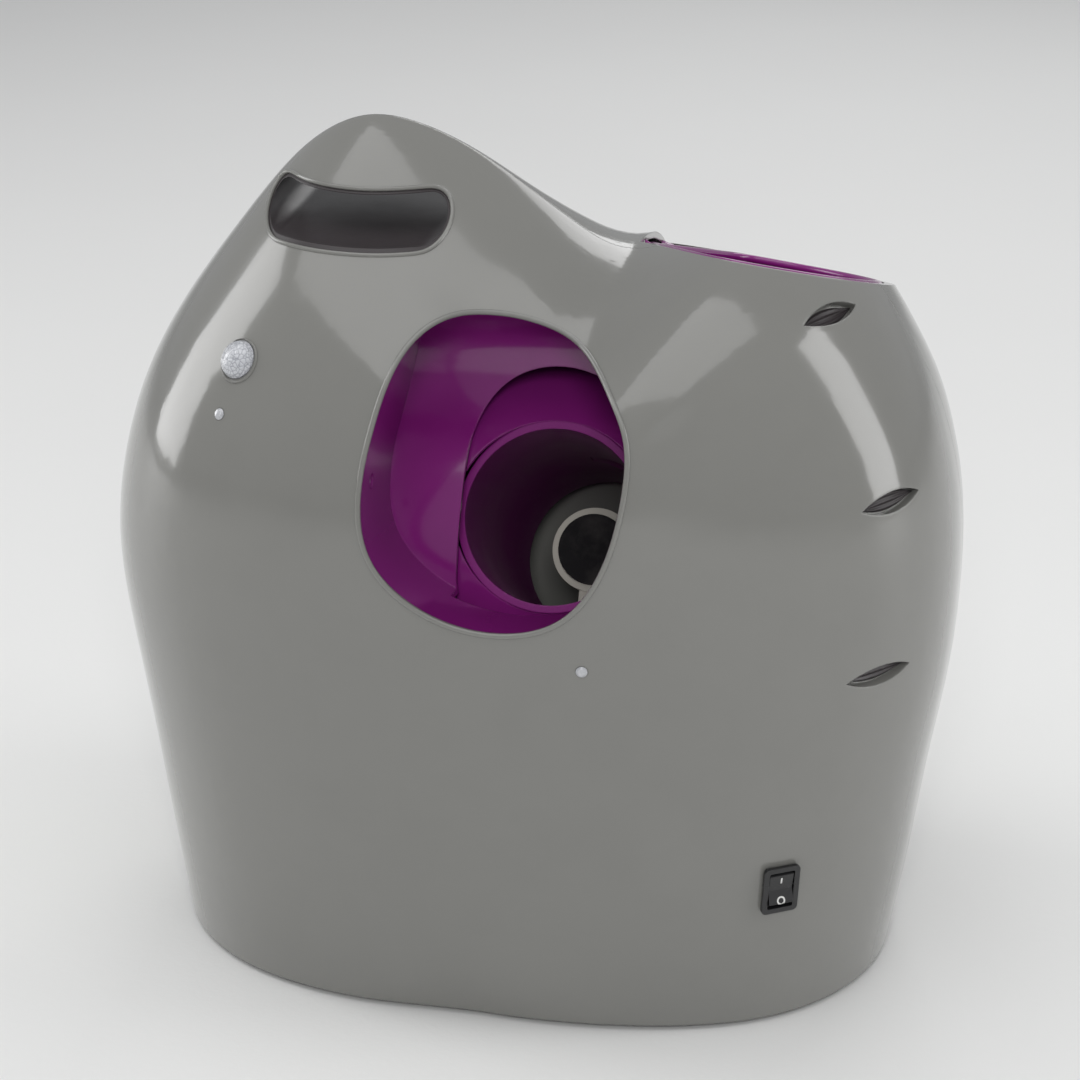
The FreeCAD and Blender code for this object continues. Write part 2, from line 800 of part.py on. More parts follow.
# ---------------------------------------------------------------- launch tube
HAMMER_AXIS = (-hammer_back, -hammer_drop)
STRIKE_REACH = strike_module * (strike_sector_teeth + strike_pinion_teeth) / 2.0
PINION_AXIS = (HAMMER_AXIS[0] + STRIKE_REACH * math.cos(math.radians(mesh_angle)),
               HAMMER_AXIS[1] + STRIKE_REACH * math.sin(math.radians(mesh_angle)))
REDUCTION_REACH = reduction_module * (reduction_wheel_teeth + motor_pinion_teeth) / 2.0
MOTOR_AXIS = (PINION_AXIS[0] + REDUCTION_REACH * math.cos(math.radians(motor_angle)),
              PINION_AXIS[1] + REDUCTION_REACH * math.sin(math.radians(motor_angle)))
shaft_r = 3.0
plate_thickness = 5.0
plate_corner = 8.0
trunnion_r = 4.0
trunnion_boss_r = 9.0


def tube_outer_r():
    """Outer radius of the launch tube."""
    return tube_bore_r + tube_wall


def plate_x():
    """Inner faces of the two side plates of the tube."""
    return tube_x - tube_bore_r, tube_x + tube_bore_r


def side_plates():
    """Plates hung from the tube that carry the striking gear."""
    left, right = plate_x()
    points = [(-46, 0), HAMMER_AXIS, PINION_AXIS, MOTOR_AXIS, (10, 0)]
    return [side_slab(points, plate_corner, left - plate_thickness, left),
            side_slab(points, plate_corner, right, right + plate_thickness)]


def make_tube():
    """Launch tube with a side socket for the throat and two plates for the striking gear."""
    start = tube_point(-tube_rear, 0)
    end = tube_point(tube_front, 0)
    barrel = rod(tube_outer_r(), start, end)
    socket_end = bucket_x - 2.0
    socket = rod_x(tube_bore_r + 0.5 + tube_wall, tube_x, socket_end, pivot_y, pivot_z)
    left, right = plate_x()
    boss = rod_x(trunnion_boss_r, tilt_x0 - 1.0, left, pivot_y, pivot_z)
    whole = fuse([barrel, socket, boss] + side_plates())
    whole = whole.cut(rod(tube_bore_r, tube_point(-tube_rear - 30, 0), tube_point(tube_front + 30, 0)))
    whole = whole.cut(rod_x(tube_bore_r + 0.5, tube_x, socket_end + 5, pivot_y, pivot_z))
    arm_slot = side_slab([(-tube_rear - 10, -60), (-tube_rear - 10, 0), (-hammer_back + 12, 0),
                          (-hammer_back + 12, -60)], 0, tube_x - 9.0, tube_x + 9.0)
    under = rod(tube_outer_r() + 1, tube_point(-tube_rear - 12, 0), tube_point(tube_front, 0))
    whole = whole.cut(arm_slot.common(under))
    whole = whole.cut(rod_x(trunnion_r + 0.02, tilt_x0 - 5, left - 2.0, pivot_y, pivot_z))
    for (s, h), radius in ((HAMMER_AXIS, shaft_r + 0.02), (PINION_AXIS, shaft_r + running)):
        centre = tube_point(s, h)
        whole = whole.cut(rod_x(radius, -40, 100, centre.y, centre.z))
    motor = tube_point(*MOTOR_AXIS)
    whole = whole.cut(rod_x(5.0, right - 2, right + 10, motor.y, motor.z))
    whole = whole.cut(rod_x(6.0, left - 10, left + 2, motor.y, motor.z))
    save("launch_tube", whole)
    save("trunnion_pin", rod_x(trunnion_r, bearing_x - 5.0, left - 2.2, pivot_y, pivot_z))


shroud_gap = 1.2
shroud_wall = 2.0
shroud_low = -48.0
shroud_high = 50.0


def make_shroud():
    """Curved shield round the tube's mouth that fills the liner's slot at every angle."""
    left, right = plate_x()
    outer_r = tube_swing() - shroud_gap
    ring = rod_x(outer_r, left, right, pivot_y, pivot_z)
    ring = ring.cut(rod_x(outer_r - shroud_wall, left - 1, right + 1, pivot_y, pivot_z))
    wedge = [(0, 0)]
    for degrees in (shroud_low, 0.5 * shroud_low, 0.0, 0.5 * shroud_high, shroud_high):
        angle = math.radians(degrees)
        wedge.append((2 * outer_r * math.cos(angle), 2 * outer_r * math.sin(angle)))
    ring = ring.common(side_slab(wedge, 0, left, right))
    mouth = rod(tube_outer_r() + 0.02, tube_point(0, 0), tube_point(tube_front + 40, 0))
    save("mouth_shroud", ring.cut(mouth))


arm_x0 = tube_x - 7.0
arm_x1 = tube_x + 7.0
left_stop = tube_x - tube_bore_r + 1.0
spring_sleeve_r = 5.2
spring_wire_r = 1.1
sector_x0 = tube_x + 18.0


def make_hammer():
    """Striking hammer: hub, arm, domed head and the toothed sector that cocks it."""
    axis = tube_point(*HAMMER_AXIS)
    hub = rod_x(9.0, arm_x0, sector_x0 + gear_thickness, axis.y, axis.z)
    sleeve = rod_x(spring_sleeve_r, left_stop, arm_x0 + 1, axis.y, axis.z)
    s, h = HAMMER_AXIS
    arm = side_slab([(s - 5, h), (s + 5, h), (s + 4, -8), (s - 4, -8)], 0, arm_x0 + 2, arm_x1 - 2)
    head = rod(hammer_head_r, tube_point(s - 5, 0), tube_point(s + 5, 0))
    neck = rod(hammer_head_r * 0.55, tube_point(s - 9, 0), tube_point(s - 5, 0))
    launch = math.radians(launch_angle)
    turn = strike_turn()
    first = strike_first()
    sector = gear_x(strike_sector_teeth, strike_module, sector_x0, sector_x0 + gear_thickness,
                    axis.y, axis.z, turn, first, strike_count())
    hammer = fuse([hub, sleeve, arm, head, neck, sector])
    bore = rod_x(shaft_r + running, left_stop - 5, sector_x0 + gear_thickness + 5, axis.y, axis.z)
    hammer = hammer.cut(bore)
    save("hammer", hammer)
    pad = rod(hammer_head_r - 3.0, tube_point(s + 5, 0), tube_point(s + 8, 0))
    save("hammer_pad", pad)
    left, right = plate_x()
    save("hammer_shaft", rod_x(shaft_r, left - plate_thickness, right + plate_thickness, axis.y, axis.z))


def world_angle(tube_angle):
    """Angle from +Y towards +Z of a direction given in the tube's (s, h) plane, radians."""
    local = math.radians(tube_angle)
    launch = math.radians(launch_angle)
    dy = -math.cos(launch) * math.cos(local) + math.sin(launch) * math.sin(local)
    dz = math.sin(launch) * math.cos(local) + math.cos(launch) * math.sin(local)
    return math.atan2(dz, dy)


cock_angle = 45.0
sector_margin = 12.0


def strike_turn():
    """Turn of the hammer's sector, with a tooth in the middle of the mesh."""
    return world_angle(mesh_angle)


def strike_first():
    """First tooth of the sector, counted from the mesh."""
    step = 360.0 / strike_sector_teeth
    return -int(sector_margin / step)


def strike_count():
    """Teeth on the sector: the cocking travel and a margin at each end."""
    step = 360.0 / strike_sector_teeth
    return int((cock_angle + 2 * sector_margin) / step)


def make_drive():
    """Pinion shaft with its wheel, and the motor with its pinion."""
    axis = tube_point(*PINION_AXIS)
    to_pinion = world_angle(mesh_angle)
    pinion_turn = mesh_turn(strike_pinion_teeth, to_pinion, strike_sector_teeth, strike_turn())
    pinion = gear_x(strike_pinion_teeth, strike_module, sector_x0, sector_x0 + gear_thickness,
                    axis.y, axis.z, pinion_turn)
    pinion = pinion.cut(rod_x(shaft_r + 0.02, 0, 100, axis.y, axis.z))
    save("strike_pinion", pinion)
    wheel_turn = world_angle(motor_angle)
    wheel = gear_x(reduction_wheel_teeth, reduction_module, wheel_x0, wheel_x0 + wheel_thickness,
                   axis.y, axis.z, wheel_turn)
    for k in range(6):
        angle = math.radians(60.0 * k)
        hole_y = axis.y + 12.0 * math.cos(angle)
        hole_z = axis.z + 12.0 * math.sin(angle)
        wheel = wheel.cut(rod_x(3.4, 0, 100, hole_y, hole_z))
    wheel = wheel.cut(rod_x(shaft_r + 0.02, 0, 100, axis.y, axis.z))
    save("reduction_wheel", wheel)
    left, right = plate_x()
    save("pinion_shaft", rod_x(shaft_r, left - plate_thickness, right + plate_thickness, axis.y, axis.z))
    motor = tube_point(*MOTOR_AXIS)
    motor_turn = mesh_turn(motor_pinion_teeth, wheel_turn, reduction_wheel_teeth, wheel_turn)
    small = gear_x(motor_pinion_teeth, reduction_module, wheel_x0, wheel_x0 + wheel_thickness,
                   motor.y, motor.z, motor_turn)
    spindle = rod_x(1.5, left + motor_length + 1.0, wheel_x0 + wheel_thickness + 6.0, motor.y, motor.z)
    save("motor_pinion", small.fuse([spindle]).removeSplitter())
    can = rod_x(motor_radius, left + 0.2, left + motor_length, motor.y, motor.z)
    nose = rod_x(4.0, left + motor_length, left + motor_length + 1.5, motor.y, motor.z)
    body = fuse([can, nose])
    body = body.cut(rod_x(1.5 + running, left + motor_length - 5, left + motor_length + 5, motor.y, motor.z))
    save("drive_motor", body)


wheel_x0 = tube_x + 10.0
wheel_thickness = 6.0


def make_spring():
    """Torsion spring round the hammer's hub."""
    axis = tube_point(*HAMMER_AXIS)
    turns = 6
    pitch = (arm_x0 - left_stop - 2 * spring_wire_r - 1.0) / turns
    coil_r = spring_sleeve_r + spring_wire_r + 0.1
    helix = Part.makeHelix(pitch, pitch * turns, coil_r)
    start = helix.Edges[0].valueAt(helix.Edges[0].FirstParameter)
    section = Part.Wire(Part.makeCircle(spring_wire_r, start, Vector(0, 1, 0)))
    coil = Part.Wire(helix.Edges).makePipeShell([section], True, True)
    first = left_stop + 1.0 + spring_wire_r
    matrix = FreeCAD.Matrix(0, 0, 1, first, 1, 0, 0, axis.y, 0, 1, 0, axis.z, 0, 0, 0, 1)
    save("hammer_spring", placed(coil, matrix))


# ---------------------------------------------------------------- tilt gear
tilt_thickness = 5.0
tilt_x0 = tube_x - tube_bore_r - plate_thickness - tilt_thickness - 3.0
bearing_x = tilt_x0 - 8.0
TILT_LOW = -4.0
TILT_HIGH = 7.5
bush_radius = 6.0


def tilt_direction():
    """Direction from the tilt axis to the angle shaft, from +Y towards +Z, radians."""
    ky, kz = knob_centre()
    return math.atan2(kz - pivot_z, ky - pivot_y)


def make_tilt_gear():
    """Toothed sector on the tube, pinion and shaft of the angle knob."""
    direction = tilt_direction()
    step = 360.0 / tilt_sector_teeth
    first = -int((5.0 - TILT_LOW) / step)
    count = int((TILT_HIGH + 6.0) / step) + 1 - first
    sector = gear_x(tilt_sector_teeth, tilt_module, tilt_x0, tilt_x0 + tilt_thickness,
                    pivot_y, pivot_z, direction, first, count)
    hub = rod_x(trunnion_boss_r + 6.0, tilt_x0, tilt_x0 + tilt_thickness, pivot_y, pivot_z)
    sector = fuse([sector, hub]).cut(rod_x(trunnion_boss_r + 0.02, -60, 20, pivot_y, pivot_z))
    left, right = plate_x()
    save("tilt_sector", sector)
    ky, kz = knob_centre()
    pinion_turn = mesh_turn(tilt_pinion_teeth, direction, tilt_sector_teeth, direction)
    pinion = gear_x(tilt_pinion_teeth, tilt_module, tilt_x0 - 1.0, tilt_x0 + tilt_thickness + 1.0,
                    ky, kz, pinion_turn)
    pinion = pinion.cut(rod_x(2.52, -100, 50, ky, kz))
    save("tilt_pinion", pinion)
    recess_floor = end_x(kz) + knob_recess
    save("angle_shaft", rod_x(2.5, recess_floor - knob_height + 5.0, tilt_x0 + tilt_thickness + 2.0, ky, kz))
    bush = fuse([rod_x(bush_radius, recess_floor - 0.5, recess_floor + wall + 6.0, ky, kz),
                 rod_x(bush_radius + 3.0, recess_floor + wall, recess_floor + wall + 6.0, ky, kz)])
    save("shaft_bush", bush.cut(rod_x(2.5 + running, -200, 0, ky, kz)))


def flower_wire(radius, lobe):
    """Six-lobed outline."""
    points = []
    for k in range(36):
        angle = math.radians(10.0 * k)
        r = radius - lobe + lobe * math.cos(6 * angle)
        points.append(Vector(r * math.cos(angle), r * math.sin(angle), 0))
    curve = Part.BSplineCurve()
    curve.interpolate(Points=points, PeriodicFlag=True)
    return Part.Wire(curve.toShape())


def make_angle_knob():
    """Six-lobed knob on its shaft at the handle end."""
    ky, kz = knob_centre()
    recess_floor = end_x(kz) + knob_recess
    body = slab(flower_wire(knob_radius, 2.4), Vector(0, 0, knob_height))
    rim = [edge for edge in body.Edges if edge.BoundBox.ZMin > knob_height - 0.01 and edge.Length > 20]
    body = body.makeFillet(2.0, rim)
    body = body.cut(rod(2.52, (0, 0, -1), (0, 0, knob_height - 5.0)))
    point = Vector(recess_floor - 0.6, ky, kz)
    save("angle_knob", aimed(body, point, Vector(-1, 0, 0)))


# ---------------------------------------------------------------- frame and base
def make_frame_plate():
    """Upright bearing plate that stands astride the battery tray."""
    x0 = bearing_x - 3.0
    x1 = bearing_x + 3.0
    floor = foot_height + base_thickness
    ky, kz = knob_centre()
    tray_half = cell_length / 2 + 6.0
    outline = [(-tray_half - 14, floor), (-tray_half - 0.5, floor), (-tray_half - 0.5, 58),
               (tray_half + 0.5, 58), (tray_half + 0.5, floor), (tray_half + 14, floor),
               (tray_half + 2, 100), (pivot_y + 13, pivot_z + 14), (pivot_y - 13, pivot_z + 14),
               (-tray_half - 2, 100)]
    points = [Vector(x0, y, z) for y, z in outline]
    plate = slab(Part.makePolygon(points + [points[0]]), Vector(x1 - x0, 0, 0))
    feet = []
    for side in (-1, 1):
        foot_y = side * (tray_half + 7.25)
        feet.append(block(x0 - 8, x1 + 8, foot_y - 6.75, foot_y + 6.75, floor, floor + 4))
    plate = fuse([plate] + feet)
    plate = plate.cut(rod_x(trunnion_r + running, x0 - 5, x1 + 5, pivot_y, pivot_z))
    plate = plate.cut(rod_x(2.5 + running, x0 - 5, x1 + 5, ky, kz))
    for y, z, r in ((-14, 122, 10), (44, 92, 10), (-30, 84, 9)):
        plate = plate.cut(rod_x(r, x0 - 5, x1 + 5, y, z))
    save("frame_plate", plate)


FEET = [(-112.0, -55.0), (112.0, -55.0), (-112.0, 55.0), (112.0, 55.0)]
door_half_x = 108.0
door_half_y = 34.0
hinge_y = 39.0
hinge_r = 3.0
hinge_pin_r = 1.5
KNUCKLES = [(-92.0, -72.0), (72.0, 92.0)]
speaker_x = -62.0
speaker_y = 68.0
speaker_r = 18.0


def level_wire(z, inset):
    """Outline of the form at a height, taken in by inset."""
    points = []
    count = 40
    for k in range(count):
        angle = 2 * math.pi * k / count
        end = abs(end_x(z)) - inset
        x = end * math.cos(angle)
        side = 1 if math.sin(angle) > 0 else -1
        depth = 0.0 if k % (count // 2) == 0 else skin_y(x, z, inset)
        points.append(Vector(x, side * depth, z))
    curve = Part.BSplineCurve()
    curve.interpolate(Points=points, PeriodicFlag=True)
    return Part.Wire(curve.toShape())


def make_base():
    """Base plate with the battery opening, hinge lugs, screw holes and speaker grille."""
    low = foot_height
    high = foot_height + base_thickness
    inset = wall + part_gap
    plate = Part.makeLoft([level_wire(low, inset), level_wire(high, inset)], True, True)
    z = (low + high) / 2.0
    lugs = []
    for x0, x1 in KNUCKLES:
        for a, b in ((x0 - 6.3, x0 - 0.3), (x1 + 0.3, x1 + 6.3)):
            lugs.append(rod_x(hinge_r, a, b, hinge_y, z))
    plate = fuse([plate] + lugs)
    open_x = door_half_x + 0.4
    open_y = door_half_y + 0.4
    cuts = [block(-open_x, open_x, -open_y, open_y, low - 1, high + 1)]
    for x0, x1 in KNUCKLES:
        cuts.append(block(x0 - 0.3, x1 + 0.3, door_half_y, hinge_y + hinge_r + 0.6, low - 4, high + 4))
        cuts.append(rod_x(hinge_pin_r + 0.02, x0 - 7, x1 + 7, hinge_y, z))
    for x, side in BOSSES:
        bx, by = boss_place(x, side)
        cuts.append(rod(screw_radius + 0.4, (bx, by, 0), (bx, by, 20)))
    for ring, count in ((0.0, 1), (6.0, 6), (12.0, 12)):
        for k in range(count):
            angle = 2 * math.pi * k / count
            hx = speaker_x + ring * math.cos(angle)
            hy = speaker_y + ring * math.sin(angle)
            cuts.append(rod(1.6, (hx, hy, 0), (hx, hy, 20)))
    for x, y in FEET:
        cuts.append(rod(3.0, (x, y, 0), (x, y, 20)))
    save("base_plate", plate.cut(cuts))
    pins = [rod_x(hinge_pin_r, x0 - 6.5, x1 + 6.5, hinge_y, z) for x0, x1 in KNUCKLES]
    save("door_hinge_pins", Part.makeCompound(pins))


def make_feet():
    """Four rubber feet pushed into the base plate."""
    high = foot_height + base_thickness
    profile = [(0, 0), (8.0, 0), (9.0, 1.0), (9.0, foot_height), (2.95, foot_height), (2.95, high + 0.1),
               (3.8, high + 0.1), (2.6, high + 2.6), (0, high + 2.6)]
    feet = []
    for x, y in FEET:
        foot = turned(profile)
        foot.translate(Vector(x, y, 0))
        feet.append(foot)
    save("rubber_feet", Part.makeCompound(feet))


def make_screws():
    """Screws that hold the base plate to the two shells."""
    screws = []
    low = foot_height
    profile = [(0, low - 2.2), (3.2, low - 2.2), (3.2, low), (1.4, low), (1.4, 22), (0, 24)]
    for x, side in BOSSES:
        bx, by = boss_place(x, side)
        screw = turned(profile)
        screw.translate(Vector(bx, by, 0))
        screws.append(screw)
    save("case_screws", Part.makeCompound(screws))


def make_battery_pack():
    """Tray, six cells, end contacts and the hinged door below them."""
    low = foot_height + base_thickness
    cell_z = foot_height + 3.3 + cell_radius
    top = cell_z + cell_radius + 0.3
    half_x = cell_pitch * cell_count / 2.0
    half_y = cell_length / 2.0 + 1.5
    tray = block(-half_x - 2, half_x + 2, -half_y - 2, half_y + 2, low, top + 2)
    tray = tray.cut(block(-half_x, half_x, -half_y, half_y, low - 1, top))
    ribs = []
    for k in range(1, cell_count):
        x = -half_x + cell_pitch * k
        for side in (-1, 1):
            rib_y = side * (half_y - 6)
            ribs.append(block(x - 0.4, x + 0.4, rib_y - 6, rib_y + 6, top - 6, top + 1))
    tray = fuse([tray] + ribs)
    save("battery_tray", tray)
    cells = []
    contacts = []
    for k in range(cell_count):
        x = -half_x + cell_pitch * (k + 0.5)
        body = rod(cell_radius - 0.1, (x, -cell_length / 2 + 1.5, cell_z), (x, cell_length / 2, cell_z))
        nub = rod(4.5, (x, -cell_length / 2, cell_z), (x, -cell_length / 2 + 1.5, cell_z))
        cell = fuse([body, nub])
        if k % 2:
            cell.rotate(Vector(x, 0, cell_z), Vector(0, 0, 1), 180)
        cells.append(cell)
        for side in (-1, 1):
            inner = side * (half_y - 0.2)
            plate = block(x - 8, x + 8, min(inner, inner - side * 0.8), max(inner, inner - side * 0.8),
                          cell_z - 9, cell_z + 9)
            contacts.append(plate)
    save("battery_cells", Part.makeCompound(cells))
    save("battery_contacts", Part.makeCompound(contacts))
    z = foot_height + base_thickness / 2.0
    door = block(-door_half_x, door_half_x, -door_half_y, door_half_y, foot_height, foot_height + 3.0)
    knuckles = []
    for x0, x1 in KNUCKLES:
        knuckles.append(rod_x(hinge_r, x0, x1, hinge_y, z))
        knuckles.append(block(x0, x1, door_half_y - 1, hinge_y, foot_height + 0.4, foot_height + 2.6))
    door = fuse([door] + knuckles)
    for x0, x1 in KNUCKLES:
        door = door.cut(rod_x(hinge_pin_r + running, x0 - 1, x1 + 1, hinge_y, z))
    for k in range(5):
        y = -door_half_y + 8 + 3.0 * k
        door = door.cut(block(-16, 16, y, y + 1.4, foot_height - 1, foot_height + 0.8))
    save("battery_door", door)


def make_speaker():
    """Small loudspeaker over the grille."""
    floor = foot_height + base_thickness
    profile = [(0, floor + 2), (8, floor + 1.2), (speaker_r - 2, floor), (speaker_r, floor),
               (speaker_r, floor + 2.5), (11, floor + 7), (11, floor + 13), (0, floor + 13)]
    speaker = turned(profile)
    speaker.translate(Vector(speaker_x, speaker_y, 0))
    save("speaker", speaker)


def make_board():
    """Control board standing on the base plate in front of the battery tray."""
    floor = foot_height + base_thickness
    board = block(-122, -52, -62, -60.4, floor, 88)
    chips = [block(-110, -94, -60.4, -58, 50, 66), block(-84, -76, -60.4, -50, 30, 38),
             block(-70, -60, -60.4, -52, 60, 74), block(-112, -106, -60.4, -48, 20, 26)]
    save("control_board", fuse([board] + chips))


# ---------------------------------------------------------------- controls
def switch_place():
    """Place of the power switch on the front skin."""
    return skin_place(switch_x, switch_z, -1)


def switch_hole():
    """Square cut-out for the switch."""
    point, normal = switch_place()
    hole = slab(rounded_rectangle(switch_width - 2.0, switch_height - 2.0, 1.0), Vector(0, 0, 30))
    hole.translate(Vector(0, 0, -15))
    return aimed(hole, point, normal)


def make_switch():
    """Switch housing with its bezel, and the rocker in it."""
    point, normal = switch_place()
    bezel = slab(rounded_rectangle(switch_width, switch_height, 2.0, 0.9), Vector(0, 0, 1.4))
    can = slab(rounded_rectangle(switch_width - 2.4, switch_height - 2.4, 0.8, -14.0), Vector(0, 0, 15.0))
    housing = fuse([bezel, can])
    window = slab(rounded_rectangle(switch_width - 4.4, switch_height - 4.4, 0.6, -9.0), Vector(0, 0, 20))
    housing = housing.cut(window)
    half = switch_width / 2 - 2.2
    pivot = [rod((1.0), (-half - 0.9, 0, -2.5), (half + 0.9, 0, -2.5))]
    housing = housing.cut(rod(1.0 + running, (-half - 1.0, 0, -2.5), (half + 1.0, 0, -2.5)))
    save("switch_housing", aimed(housing, point, normal))
    reach = switch_height / 2 - 2.2 - 0.5
    low = 2.2
    points = [(-reach, -5.5), (reach, -5.5), (reach, low), (0, low - 0.7), (-reach, low + 2.0)]
    wire = Part.makePolygon([Vector(-half + 0.3, y, z) for y, z in points + [points[0]]])
    rocker = slab(wire, Vector(2 * half - 0.6, 0, 0))
    rocker = rocker.common(rod(reach + 0.35, (-half, 0, -2.5), (half, 0, -2.5)))
    rocker = fuse([rocker] + pivot)
    save("power_rocker", aimed(rocker, point, normal))


def dial_place():
    """Place of the distance dial on the rear skin."""
    return skin_place(dial_x, dial_z, 1)


def dial_hole():
    """Hole for the dial's stem."""
    point, normal = dial_place()
    return rod(4.0, point - normal * 15, point + normal * 10)


def make_dial():
    """Domed distance dial, its encoder and the encoder's nut."""
    point, normal = dial_place()
    seat = 1.6
    profile = [(0, seat), (dial_radius, seat), (dial_radius, seat + 2.2)]
    steps = 6
    for k in range(1, steps + 1):
        angle = math.radians(90.0 * k / steps)
        profile.append(((dial_radius - 1.2) * math.cos(angle), seat + 2.2 + 8.5 * math.sin(angle)))
    profile[-1] = (0, profile[-1][1])
    dome = turned(profile)
    stem = rod(3.0, (0, 0, -14), (0, 0, seat + 1))
    save("distance_dial", aimed(fuse([dome, stem]), point, normal))
    can = block(-7, 7, -7, 7, -17, -wall - 1.6)
    neck = rod(3.9, (0, 0, -wall - 1.6), (0, 0, 0.6))
    encoder = fuse([can, neck]).cut(rod(3.0 + running, (0, 0, -14.5), (0, 0, 2)))
    save("dial_encoder", aimed(encoder, point, normal))


def jack_hole():
    """Hole in the rear shell for the power inlet."""
    y = skin_y(jack_x, jack_z)
    return rod(6.0, (jack_x, y - 25, jack_z), (jack_x, y + 15, jack_z))


def make_jack():
    """Power inlet with a blind round socket."""
    y = skin_y(jack_x + 6, jack_z)
    face = y - 3.0
    body = fuse([rod(5.9, (jack_x, face - 8, jack_z), (jack_x, face, jack_z)),
                 block(jack_x - 7, jack_x + 7, face - 22, face - 9, jack_z - 7, jack_z + 6),
                 rod(5.9, (jack_x, face - 9.5, jack_z), (jack_x, face - 7, jack_z))])
    body = body.cut(rod(jack_bore_r, (jack_x, face - 11, jack_z), (jack_x, face + 1, jack_z)))
    save("power_inlet", body)


def main():
    """Build every piece."""
    make_shells()
    make_sensors()
    make_portal_liner()
    make_beam_sensors()
    make_handle_liner()
    make_bucket()
    make_gate()
    make_tube()
    make_shroud()
    make_hammer()
    make_drive()
    make_spring()
    make_tilt_gear()
    make_angle_knob()
    make_frame_plate()
    make_base()
    make_feet()
    make_screws()
    make_battery_pack()
    make_speaker()
    make_board()
    make_switch()
    make_dial()
    make_jack()


main()
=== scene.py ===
"""Looks, small details, light and camera of the automatic ball launcher."""

import json
import math

import bmesh
import bpy
from mathutils import Matrix, Vector
from mathutils.bvhtree import BVHTree

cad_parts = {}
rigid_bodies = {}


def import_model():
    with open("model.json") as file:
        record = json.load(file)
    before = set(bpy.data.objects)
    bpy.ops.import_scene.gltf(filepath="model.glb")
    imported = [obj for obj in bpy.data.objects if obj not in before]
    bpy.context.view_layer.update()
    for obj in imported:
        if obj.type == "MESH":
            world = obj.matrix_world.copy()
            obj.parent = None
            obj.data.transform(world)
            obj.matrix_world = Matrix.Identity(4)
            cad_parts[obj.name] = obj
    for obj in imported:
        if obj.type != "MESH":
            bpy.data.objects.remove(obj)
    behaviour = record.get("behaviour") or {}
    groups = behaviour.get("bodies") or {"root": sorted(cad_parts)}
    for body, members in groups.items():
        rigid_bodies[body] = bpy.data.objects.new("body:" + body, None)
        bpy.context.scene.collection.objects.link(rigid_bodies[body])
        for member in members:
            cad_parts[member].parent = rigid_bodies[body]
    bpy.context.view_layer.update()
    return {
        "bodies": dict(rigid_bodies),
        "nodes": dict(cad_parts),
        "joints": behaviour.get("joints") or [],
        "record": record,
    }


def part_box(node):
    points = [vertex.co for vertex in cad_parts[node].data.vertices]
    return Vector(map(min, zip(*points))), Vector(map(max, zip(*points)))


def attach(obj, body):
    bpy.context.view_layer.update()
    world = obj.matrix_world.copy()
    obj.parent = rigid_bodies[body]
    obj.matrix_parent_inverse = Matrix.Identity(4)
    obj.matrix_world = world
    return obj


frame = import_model()
NODES = frame["nodes"]
RECORD = frame["record"]
JOINTS = {joint["name"]: joint for joint in RECORD["behaviour"]["joints"]}
SLOTS = {part["node"]: part["material_slot"] for part in RECORD["subparts"]}

# ---------------------------------------------------------------- colours (linear)
GREY = (0.196, 0.195, 0.182)
PURPLE = (0.200, 0.012, 0.165)
LIME = (0.470, 0.600, 0.022)
BLACK = (0.012, 0.012, 0.013)
# dark trim colour, also the painted shade on the scoops' floors and in the screws' cross recesses
TRIM_BLACK_AND_SHADE = (0.030, 0.024, 0.026)
DARK_GREY = (0.055, 0.055, 0.056)
INNER_GREY = (0.10, 0.10, 0.10)
RUBBER_BLACK = (0.020, 0.020, 0.021)
DUST = (0.09, 0.085, 0.08)
SLEEVE_BLACK = (0.015, 0.015, 0.016)
MARK_WHITE = (0.72, 0.72, 0.70)
IVORY = (0.62, 0.60, 0.53)
STEEL = (0.52, 0.52, 0.53)
ZINC = (0.48, 0.48, 0.49)
PLATING = (0.62, 0.60, 0.55)
BRASS = (0.62, 0.42, 0.14)
LENS_MILK = (0.56, 0.57, 0.60)
LENS_SEAM = (0.30, 0.31, 0.34)
LAMP_CLEAR = (0.78, 0.79, 0.82)
LAMP_CORE = (0.50, 0.52, 0.56)
LAMINATE = (0.012, 0.105, 0.040)
TRACK_GREEN = (0.05, 0.20, 0.07)
LAMINATE_SHADE = (0.006, 0.05, 0.02)
WRAP = (0.030, 0.031, 0.036)
# painted sheen on the raised wrinkles of a cell's sleeve
WRAP_PAINTED_SHEEN = (0.075, 0.077, 0.085)

# ---------------------------------------------------------------- sizes (metres)
WELD = 2e-6  # closer vertices are one
LONGEST_RAY = 0.3
SHARP_ANGLE = 0.8  # radians; a smooth piece keeps the edges that turn by more
# corners of a drawn line's section: share of its width, share of its rise
RIBBON = ((-0.5, -0.6), (-0.5, 0.5), (-0.32, 1.0), (0.32, 1.0), (0.5, 0.5), (0.5, -0.6))

# lips: the bead's radius and points, the box in which its rim lies, the rim's least length
PORTAL_LIP_RADIUS = 0.0011
PORTAL_LIP_POINTS = 160
PORTAL_ZONE = ((-0.075, -0.140, 0.165), (0.075, -0.050, 0.292))
PORTAL_RIM_LENGTH = 0.2
SLOT_LIP_RADIUS = 0.0009
SLOT_LIP_POINTS = 110
SLOT_ZONE = ((-0.115, -0.150, 0.290), (-0.015, 0.150, 0.330))
SLOT_RIM_LENGTH = 0.12
BUCKET_LIP_RADIUS = 0.0016
BUCKET_LIP_POINTS = 200
BUCKET_ZONE = ((0.030, -0.130, 0.225), (0.180, 0.130, 0.320))
BUCKET_RIM_LENGTH = 0.25
RIM_ANGLE = 0.7  # radians; a rim's edges turn by more
BUCKET_RIM_ANGLE = 0.5
FEWEST_RIM_POINTS = 8  # a rim has more

